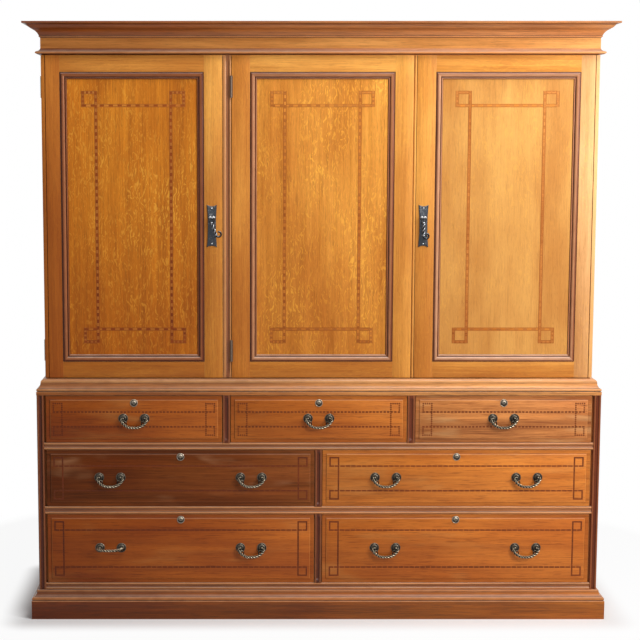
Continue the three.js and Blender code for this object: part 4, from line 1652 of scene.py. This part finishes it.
@dataclass
class Drawer:
    """A drawer: its bordered front with an inlaid line, its tray and its handles.

    The dashes of the inlaid line and of the squares at its corners are given as the step from one
    to the next and the length of each.
    """

    name: str
    handles: tuple[str, ...]
    wood: Wood = DRAWER_WOOD
    board: int = 0
    shade: float = 1.0
    thickness: float = 22.0
    border: float = 13.0
    step: float = 3.0
    line_inset: float = 57.0
    square_inset: float = 27.0
    line_width: float = 5.2
    dash: Point = (19.0, 17.0)
    fine_dash: Point = (7.0, 7.0)

    def build(self) -> None:
        """Makes the drawer with its handles."""
        box = Box.of(f"{self.name}_front")
        face = Box.of("lower_rail_board").lo.y
        front = Box.between((box.lo.x, box.hi.x), (face, face + self.thickness * MM),
                            (box.lo.z, box.hi.z))
        self._slab(front)
        dress(f"{self.name}_tray", INNER_WOOD.cut(Grain.ACROSS, 20 + self.board, sides=Grain.DEEP))
        self._inlay(front)
        Escutcheon(self.name, self._keyhole(front)).build()
        for handle in self.handles:
            bail = Bail(handle)
            bail.build()
            for end, side in ((-1, "left"), (1, "right")):
                centre = Vector((bail.pivot.x + end * Bail.centres / 2 * MM, face, bail.pivot.z))
                Rosette(f"{handle}_rosette_{side}", self.name, centre).build()

    def _keyhole(self, front: Box) -> Vector:
        """Where the keyhole is: on the drawer's middle line, nearer its top."""
        drop = {"top": 25, "middle": 24, "bottom": 19}[self.name.split("_")[0]]
        return Vector((front.middle.x, front.lo.y, front.hi.z - drop * MM))

    def _slab(self, front: Box) -> None:
        """Makes the front, its border stepped back and every arris eased.

        Args:
            front: Where the front is.
        """
        piece = Piece(f"{self.name}_front_board")
        # The third number of each ring marks the band from it to the next: worn with a painted
        # highlight on the arrises, grimy with painted shade in the step of the border.
        ease, ramp = 0.9, 2.6
        rings = ((0, self.thickness, 0.0), (0, self.step + ease, 0.7), (ease, self.step, -0.2),
                 (self.border, self.step, -0.8), (self.border + 0.6, self.step - 0.6, 0.0),
                 (self.border + ramp, ease / 2, 0.8), (self.border + ramp + ease, 0, 0.0))
        finish = self.wood.cut(Grain.ACROSS, self.board, self.shade)
        made = []
        for inset, behind, _ in rings:
            margin = Vector((inset, 0, inset)) * MM
            lo, hi, y = front.lo + margin, front.hi - margin, front.lo.y + behind * MM
            corners = ((lo.x, lo.z), (hi.x, lo.z), (hi.x, hi.z), (lo.x, hi.z))
            made.append([piece.mesh.verts.new((x, y, z)) for x, z in corners])
        for (near, far), (_, _, wear) in zip(zip(made, made[1:]), rings):
            for j in range(4):
                k = (j + 1) % 4
                piece.face([near[j], near[k], far[k], far[j]], finish, wear)
        piece.face(made[0][::-1], finish)
        piece.face(made[-1], finish)
        piece.done(self.name, (f"{self.name}_front",))

    def _inlay(self, front: Box) -> None:
        """Lets a broken dark line into the front.

        Args:
            front: Where the front is.
        """
        lengths = CornerSquares(front, self.line_inset, self.square_inset).paths(front.lo.y)
        for part, chosen, pitch, length in (("lines", lengths[:2], *self.dash),
                                            ("squares", lengths[2:], *self.fine_dash)):
            tiles = TileForm.shared().grow(
                f"{self.name}_inlay_{part}", drawn_in(chosen, (length - self.line_width) / 2 * MM),
                DARK_LINE.cut(Grain.ACROSS, 0, self.shade), Pitch=pitch * MM,
                Length=length * MM, Width=self.line_width * MM, Thickness=0.3 * MM)
            fitted(tiles, self.name)


@dataclass
class Escutcheon:
    """A round keyhole plate, domed, with a dark plug that paints the shadow of its hole."""

    drawer: str
    centre: Vector
    radius: float = 13.5

    def build(self) -> None:
        """Makes the plate, and the dark plug and slit that paint the keyhole's shadow."""
        rim = self.radius
        plate = Section(0, -0.5).line(rim, -0.5).line(rim, 0.6).curve(rim - 2.4, 1.4, 0.3, 4)
        plate.line(rim - 3, 1.1).curve(0, 5.6, 0.22, 8)
        piece = Piece(f"{self.drawer}_keyhole_plate")
        piece.turned(plate, self.centre, PLATE_IRON.cast(), sides=32)
        piece.done(self.drawer)
        hole = Piece(f"{self.drawer}_keyhole")
        x, y, z = self.centre
        hole.turned(Section(0, 0).line(3.4, 0).line(3.4, 5.9).line(0, 5.9),
                    self.centre + UP * 1.5 * MM, SHADOW.cast(), sides=16)
        slit = Box.between((x - 1.9 * MM, x + 1.9 * MM), (y - 5.3 * MM, y),
                           (z - 6.5 * MM, z + 1.5 * MM))
        hole.board(slit, SHADOW.cast(), ease=0.2)
        hole.done(self.drawer)


def eye_post(piece: Piece, foot: Vector, reach: float, post: Material, eye: Material) -> None:
    """Adds a round post with a pierced eye at its end, the hole running from side to side.

    Args:
        piece: The piece to add it to.
        foot: Where the post stands.
        reach: How far the middle of the eye is from there, in millimetres.
        post: The post's material.
        eye: The eye's material.
    """
    thickness, hole, rim, width, short = 3.0, 2.6, 5.5, 6.0, 4.0
    end = reach - short
    outline = Section(0, 0).line(thickness, 0).line(thickness, end).line(0, end)
    piece.turned(outline, foot, post, sides=14)
    centre = foot + FORWARD * reach * MM
    first = RIGHT.orthogonal().normalized()
    second = RIGHT.cross(first)
    middle, half = (hole + rim) / 2, (rim - hole) / 2
    around, sides, loops = 20, 12, []
    for i in range(around):
        turn = 2 * math.pi * i / around
        out = first * math.cos(turn) + second * math.sin(turn)
        loops.append([centre + out * (middle + half * math.cos(a)) * MM
                      + RIGHT * width / 2 * math.sin(a) * MM
                      for a in (2 * math.pi * j / sides for j in range(sides))])
    piece.loft(loops, [eye], closed=True)


@dataclass
class Rosette:
    """A domed rosette with the post and eye that carry one end of a bail."""

    name: str
    drawer: str
    centre: Vector
    radius: float = 17.0
    height: float = 6.5
    eye_reach: float = 12.0

    def build(self) -> None:
        """Makes the rosette."""
        piece = Piece(self.name)
        iron = ROSETTE_IRON.cast()
        rim = self.radius
        dome = Section(0, -0.5).line(rim, -0.5).line(rim, 0.8).curve(rim - 2.6, 1.9, 0.35, 4)
        dome.line(rim - 3.2, 1.5).curve(3.4, self.height, 0.2, 8).line(0, self.height)
        piece.turned(dome, self.centre, iron, sides=28)
        eye_post(piece, self.centre, self.eye_reach, iron, IRON.cast())
        piece.done(self.drawer, (f"{self.drawer}_front",))


@dataclass
class Bail:
    """A rope handle that hangs from two eyes.

    Its curve is given as shares of half the span and of the drop, from an end to the middle, and
    the hook behind each eye in millimetres from the middle and downwards.
    """

    node: str
    half_span: float = 44.5
    drop: float = 31.7
    pin: float = 2.1
    rope: float = 3.9
    hook_rod: float = 1.9
    twist: float = 30.0
    centres: ClassVar[float] = 76.0
    curve: ClassVar[tuple[Point, ...]] = ((1, 0.1), (1, -0.2), (0.8, -0.62), (0.42, -0.94), (0, -1))
    hook: ClassVar[tuple[Point, ...]] = ((44, 7), (37, 7.6), (30, 9.2), (26.6, 13.5), (27.5, 21))

    @property
    def pivot(self) -> Vector:
        """The point that the bail turns about."""
        return pivot_of(self.node)

    def build(self) -> None:
        """Makes the rope and its two looped ends."""
        box = Box.of(self.node)
        raised = box.hi.y - box.lo.y > box.hi.z - box.lo.z
        down, across = (FORWARD, UP) if raised else (-UP, FORWARD)
        at = functools.partial(self._at, down)
        half = [at(-share, -drop) for share, drop in self.curve]
        other = [at(share, -drop) for share, drop in self.curve[-2::-1]]
        path = smooth_path(half + other)
        girths = [self._girth(i / (len(path) - 1)) for i in range(len(path))]
        rope = RopeForm.shared().grow(
            f"{self.node}_rope", [path], IRON.cast(), girths, Radius=self.rope * MM,
            Pitch=self.twist * MM, Strands=3.0, Depth=0.3, Step=ROPE_STEP)
        fitted(rope, self.node, (self.node,))
        piece = Piece(f"{self.node}_ends")
        for side in (-1, 1):
            loop = smooth_path([at(side * x / self.half_span, y / self.drop)
                                for x, y in self.hook], 5)
            piece.tube(loop, [self.hook_rod] * len(loop), across, IRON.cast())
            inner = self.centres / 2 - 3
            piece.tube([at(side * x / self.half_span, 0) for x in (inner, self.half_span + 2)],
                       [self.pin] * 2, across, IRON.cast())
        piece.done(self.node, (self.node,))

    def _at(self, down: Vector, share: float, drop: float) -> Vector:
        """The point at a share of the half span to the side and a share of the drop below."""
        return self.pivot + RIGHT * share * self.half_span * MM + down * drop * self.drop * MM

    def _girth(self, along: float) -> float:
        """How thick the rope is at a share of its length, its ends being drawn down."""
        return min(1.0, 0.62 + 2.2 * min(along, 1 - along))


@dataclass
class DoorHandle:
    """A door's splayed plate with the twisted drop that hangs on it."""

    side: str
    lean: float = 0.0
    waist: float = 28.0
    sag: float = 5.0
    plate_thickness: float = 3.0
    nail_reach: float = 62.0
    lobe_reach: float = 5.2
    lobe_rise: float = 1.5
    stirrup: Point = (19.0, 17.0)
    length: float = 73.0
    ring: float = 9.0
    rod: float = 2.1
    shank: float = 3.7
    twist: float = 30.0

    def build(self) -> None:
        """Makes the plate and the drop."""
        self._plate()
        self._drop()

    def _plate(self) -> None:
        """Makes the plate with its two lobes, its nails and its eye."""
        node = f"{self.side}_door_plate"
        box = Box.of(node)
        pivot = pivot_of(f"{self.side}_drop")
        back = box.hi.y
        iron = HANDLE_IRON.cast()
        piece = Piece(f"{node}_iron")
        middle = Vector((pivot.x, back, box.middle.z))
        loops = [self._outline(middle, box, inset, lift)
                 for inset, lift in ((0, 0), (0, 2), (0.5, 2.7), (1.4, 3.0))]
        piece.loft(loops, [iron])
        nail = Section(0, -0.5).line(2.8, -0.5).curve(0, 1.4, 0.25, 5)
        lobe, sunk = Section(0, 0).line(6.2, 0).curve(0, 4.4, 0.3, 7), 0.4
        for end in (-1, 1):
            place = middle + UP * end * self.nail_reach * MM + FORWARD * self.plate_thickness * MM
            piece.turned(nail, place, iron, sides=14)
            place = pivot + (RIGHT * end * self.lobe_reach + UP * self.lobe_rise) * MM
            place.y = back - (self.plate_thickness - sunk) * MM
            piece.turned(lobe, place, iron, sides=20)
        eye_post(piece, Vector((pivot.x, back, pivot.z)), (back - pivot.y) / MM, iron, iron)
        piece.done(f"{self.side}_door", (node,))

    def _outline(self, middle: Vector, box: Box, inset: float, lift: float) -> list[Vector]:
        """Draws the plate's outline at one level.

        Args:
            middle: The middle of the plate's back.
            box: Where the plate is.
            inset: How far the outline is drawn in, in millimetres.
            lift: How far it is off the door.

        Returns:
            The points of the outline in turn.
        """
        end_x = (box.hi.x - box.lo.x) / 2 / MM - inset
        end_z = (box.hi.z - box.lo.z) / 2 / MM - inset
        waist = self.waist / 2 - inset
        points = []
        for i in range(17):
            share = 1 - i / 8
            points.append((waist + (end_x - waist) * share ** 2, end_z * share))
        for i in range(1, 8):
            share = 1 - i / 4
            points.append((end_x * share, -end_z + self.sag * (1 - share ** 2)))
        points += [(-x, -z) for x, z in points]
        return [middle + RIGHT * x * MM + UP * z * MM + FORWARD * lift * MM for x, z in points]

    def _drop(self) -> None:
        """Makes the stirrup, the twisted shank and the curl."""
        node = f"{self.side}_door_drop"
        body = f"{self.side}_drop"
        pivot = pivot_of(body)
        iron = DROP_IRON.cast()
        half, fall = self.stirrup[0] / 2, self.stirrup[1]
        piece = Piece(f"{node}_stirrup")
        corners = ((-half, 0), (half, 0), (half - 0.6, -5), (2.4, -fall), (-2.4, -fall),
                   (0.6 - half, -5))
        loop = [pivot + RIGHT * x * MM + UP * z * MM for x, z in corners]
        piece.tube(loop, [self.rod] * len(loop), FORWARD, iron, closed=True)
        turn = Matrix.Rotation(-self.lean, 3, "Y")
        shank = self.length - fall - self.ring - 3
        start = pivot - UP * fall * MM
        stem = [start + turn @ Vector((0, 0, -shank * MM * i / 12)) for i in range(13)]
        curl, radii, steps, thick, thin = [], [], 18, 3.6, 2.7
        for i in range(steps + 1):
            angle = math.pi + 1.5 * math.pi * i / steps
            curl.append(start + turn @ Vector((self.ring * (1 + math.cos(angle)) * MM, 0,
                                               (-shank + self.ring * math.sin(angle)) * MM)))
            radii.append(thick - (thick - thin) * (i / steps) ** 2)
        piece.tube(curl, radii, FORWARD, iron)
        for up in (1.5, -shank + 1):
            bead = Section(0, -thick).curve(0, thick, 0.62, 8)
            piece.turned(bead, start + turn @ Vector((0, 0, up * MM)), iron, sides=14, axis=UP)
        piece.done(body, (node,))
        rope = RopeForm.shared().grow(
            f"{node}_shank", [stem], iron, Radius=self.shank * MM, Pitch=self.twist * MM,
            Strands=2.0, Depth=0.32, Step=ROPE_STEP)
        fitted(rope, body, (node,))


@dataclass(frozen=True)
class Studio:
    """The pale room, its lights and the camera of the photograph.

    The lens and the sensor are in millimetres, the shift is a share of the picture's width, and
    the rest is in metres.
    """

    lens: float = 84.6
    camera_place: tuple[float, float, float] = (-0.27, -5.5056, 1.6795)
    tilt: float = math.radians(6.63)
    sensor_width: float = 36.0
    sideways_shift: float = 0.1215
    room_light: float = 0.14
    shadow_reach: float = 0.13

    def build(self) -> None:
        """Sets up the view."""
        self._camera()
        self._room()
        self._floor()
        target = Vector((0.1, -0.2, 1.0))
        self._softbox("key_light", Vector((2.6, -2.4, 2.3)), target, size=1.1, power=80.0)
        self._softbox("top_light", Vector((0.9, -1.7, 4.3)), target, size=1.8, power=80.0)

    def _camera(self) -> None:
        """Puts the camera where the photograph was taken from."""
        data = bpy.data.cameras.new("camera")
        data.lens, data.sensor_width, data.sensor_fit = self.lens, self.sensor_width, "HORIZONTAL"
        data.shift_x = self.sideways_shift
        data.clip_end = 200.0
        camera = in_scene("camera", data)
        camera.location = self.camera_place
        camera.rotation_euler = (math.pi / 2 - self.tilt, 0.0, 0.0)
        bpy.context.scene.camera = camera

    def _seen(self, pen: Pen) -> Socket:
        """Tells the rays that show the room as it is from those that only light it.

        Args:
            pen: What to draw with.

        Returns:
            1 for the rays of the camera and those that a thing reflects or lets through.
        """
        path = pen.node("ShaderNodeLightPath").outputs
        seen = pen.math("MAXIMUM", path["Is Camera Ray"], path["Is Glossy Ray"])
        return pen.math("MAXIMUM", seen, path["Is Transmission Ray"])

    def _room(self) -> None:
        """Makes the room white where it is seen and softer where it lights."""
        world = bpy.data.worlds.new("pale_room")
        bpy.context.scene.world = world
        pen = Pen.on(world)
        white = pen.node("ShaderNodeBackground", {"Color": (1, 1, 1, 1), "Strength": 1.0})
        soft = pen.node("ShaderNodeBackground", {"Color": (1, 1, 1, 1),
                                                 "Strength": self.room_light})
        both = pen.node("ShaderNodeMixShader", {0: self._seen(pen), 1: soft.outputs[0],
                                                2: white.outputs[0]})
        pen.node("ShaderNodeOutputWorld", {"Surface": both.outputs[0]})

    def _floor(self) -> None:
        """Lays a pale floor that goes over into the white room away from the press."""
        mesh = bpy.data.meshes.new("floor")
        reach = 60.0
        mesh.from_pydata([(-reach, -reach, 0), (reach, -reach, 0), (reach, reach, 0),
                          (-reach, reach, 0)], [], [(0, 1, 2, 3)])
        floor = in_scene("floor", mesh)
        finish = bpy.data.materials.new("pale_floor")
        pen = Pen.on(finish)
        place = pen.node("ShaderNodeTexCoord").outputs["Object"]
        away = pen.node("ShaderNodeVectorMath", {0: place}, operation="LENGTH").outputs["Value"]
        foot = Box.of("plinth").hi
        aside = pen.node("ShaderNodeVectorMath", {0: place}, operation="ABSOLUTE").outputs[0]
        aside = pen.vector("MAXIMUM", pen.vector("SUBTRACT", aside, (foot.x, foot.y, 0)), (0, 0, 0))
        clear = pen.node("ShaderNodeVectorMath", {0: aside}, operation="LENGTH").outputs["Value"]
        near = pen.spread(pen.smooth(clear, 0.0, self.shadow_reach), 0.05, 0.93)
        share = pen.math("MAXIMUM", pen.smooth(away, 1.0, 1.8), near)
        far = pen.math("MULTIPLY", share, self._seen(pen))
        plain = pen.node("ShaderNodeBsdfDiffuse", {"Color": (0.93, 0.93, 0.93, 1)})
        white = pen.node("ShaderNodeEmission", {"Color": (1, 1, 1, 1), "Strength": 1.0})
        both = pen.node("ShaderNodeMixShader", {0: far, 1: plain.outputs[0], 2: white.outputs[0]})
        pen.node("ShaderNodeOutputMaterial", {"Surface": both.outputs[0]})
        mesh.materials.append(finish)

    def _softbox(self, name: str, place: Vector, target: Vector, size: float, power: float) -> None:
        """Hangs one soft light.

        Args:
            name: What it is called.
            place: Where it hangs.
            target: What it points at.
            size: The length of its sides.
            power: Its power in watts.
        """
        data = bpy.data.lights.new(name, "AREA")
        data.shape, data.size, data.energy = "SQUARE", size, power
        light = in_scene(name, data)
        light.location = place
        light.visible_camera = False
        light.rotation_euler = (target - place).to_track_quat("-Z", "Y").to_euler()


class Part(Protocol):
    """Anything that builds itself into the scene."""

    def build(self) -> None:
        """Makes the part."""


@dataclass
class LinenPress:
    """The whole press, from its plinth to its cornice."""

    studio: Studio = Studio()
    drawer_shades: tuple[float, ...] = (0.84, 0.92, 1.0, 1.12, 0.96, 1.02, 0.98)

    def parts(self) -> list[Part]:
        """Lists the press's parts.

        Returns:
            The parts, from the floor up.
        """
        rows = {
            "bottom_board": ("bottom_left_drawer", "bottom_right_drawer"),
            "lower_rail_board": ("middle_left_drawer", "middle_right_drawer"),
            "upper_rail_board": ("top_left_drawer", "top_middle_drawer", "top_right_drawer"),
        }
        parts: list[Part] = [Plinth(), ChestSide("left"), ChestSide("right")]
        parts += [RowBoard(board, drawers) for board, drawers in rows.items()]
        woods = {"middle_left_drawer": DARK_DRAWER, "top_right_drawer": WORN_DRAWER}
        names = [name for drawers in rows.values() for name in drawers]
        for number, (name, shade) in enumerate(zip(names, self.drawer_shades)):
            small = name.startswith("top")
            ends = ("",) if small else ("_left", "_right")
            drawer = Drawer(name, tuple(f"{name}_bail{end}" for end in ends),
                            woods.get(name, DRAWER_WOOD), number, shade)
            parts.append(replace(drawer, dash=(12.3, 8.5), fine_dash=(7.0, 4.8)) if small
                         else drawer)
        parts += [Waist(), Cupboard(), Cornice()]
        parts += [
            Door("left", LEFT_PANEL, shades=(0.62, 1.3, 1.25, 1.1), trim_shade=0.55,
                 inlay_wood=DARK_INLAY, ground_wood=FAINT_INLAY, drift=(9, 0),
                 left_edge=EdgeForm.QUIRK),
            Door("middle", PANEL_OAK, shades=(0.98, 1.3, 1.1, 1.42), trim_shade=1.0,
                 inlay_wood=FAINT_INLAY, ground_wood=PALE_INLAY, drift=(6, -6)),
            Door("right", PLAIN_PANEL, shades=(1.22, 1.45, 1.2, 1.05), trim_shade=1.25,
                 inlay_wood=FAINT_INLAY, ground_wood=FAINT_INLAY, drift=(4, -8),
                 left_edge=EdgeForm.BEAD, right_edge=EdgeForm.QUIRK, faded_wood=FADED_OAK),
        ]
        parts += [DoorHandle("left", lean=math.radians(20)), DoorHandle("right")]
        return parts

    def build(self) -> None:
        """Makes everything."""
        for part in self.parts():
            part.build()
        self.studio.build()


def main() -> None:
    """Builds the press in its studio."""
    logging.basicConfig(level=logging.INFO, format="%(name)s: %(message)s")
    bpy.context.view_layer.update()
    bpy.context.scene.view_settings.view_transform = "Standard"
    LinenPress().build()
    bpy.context.view_layer.update()


if __name__ == "__main__":
    main()
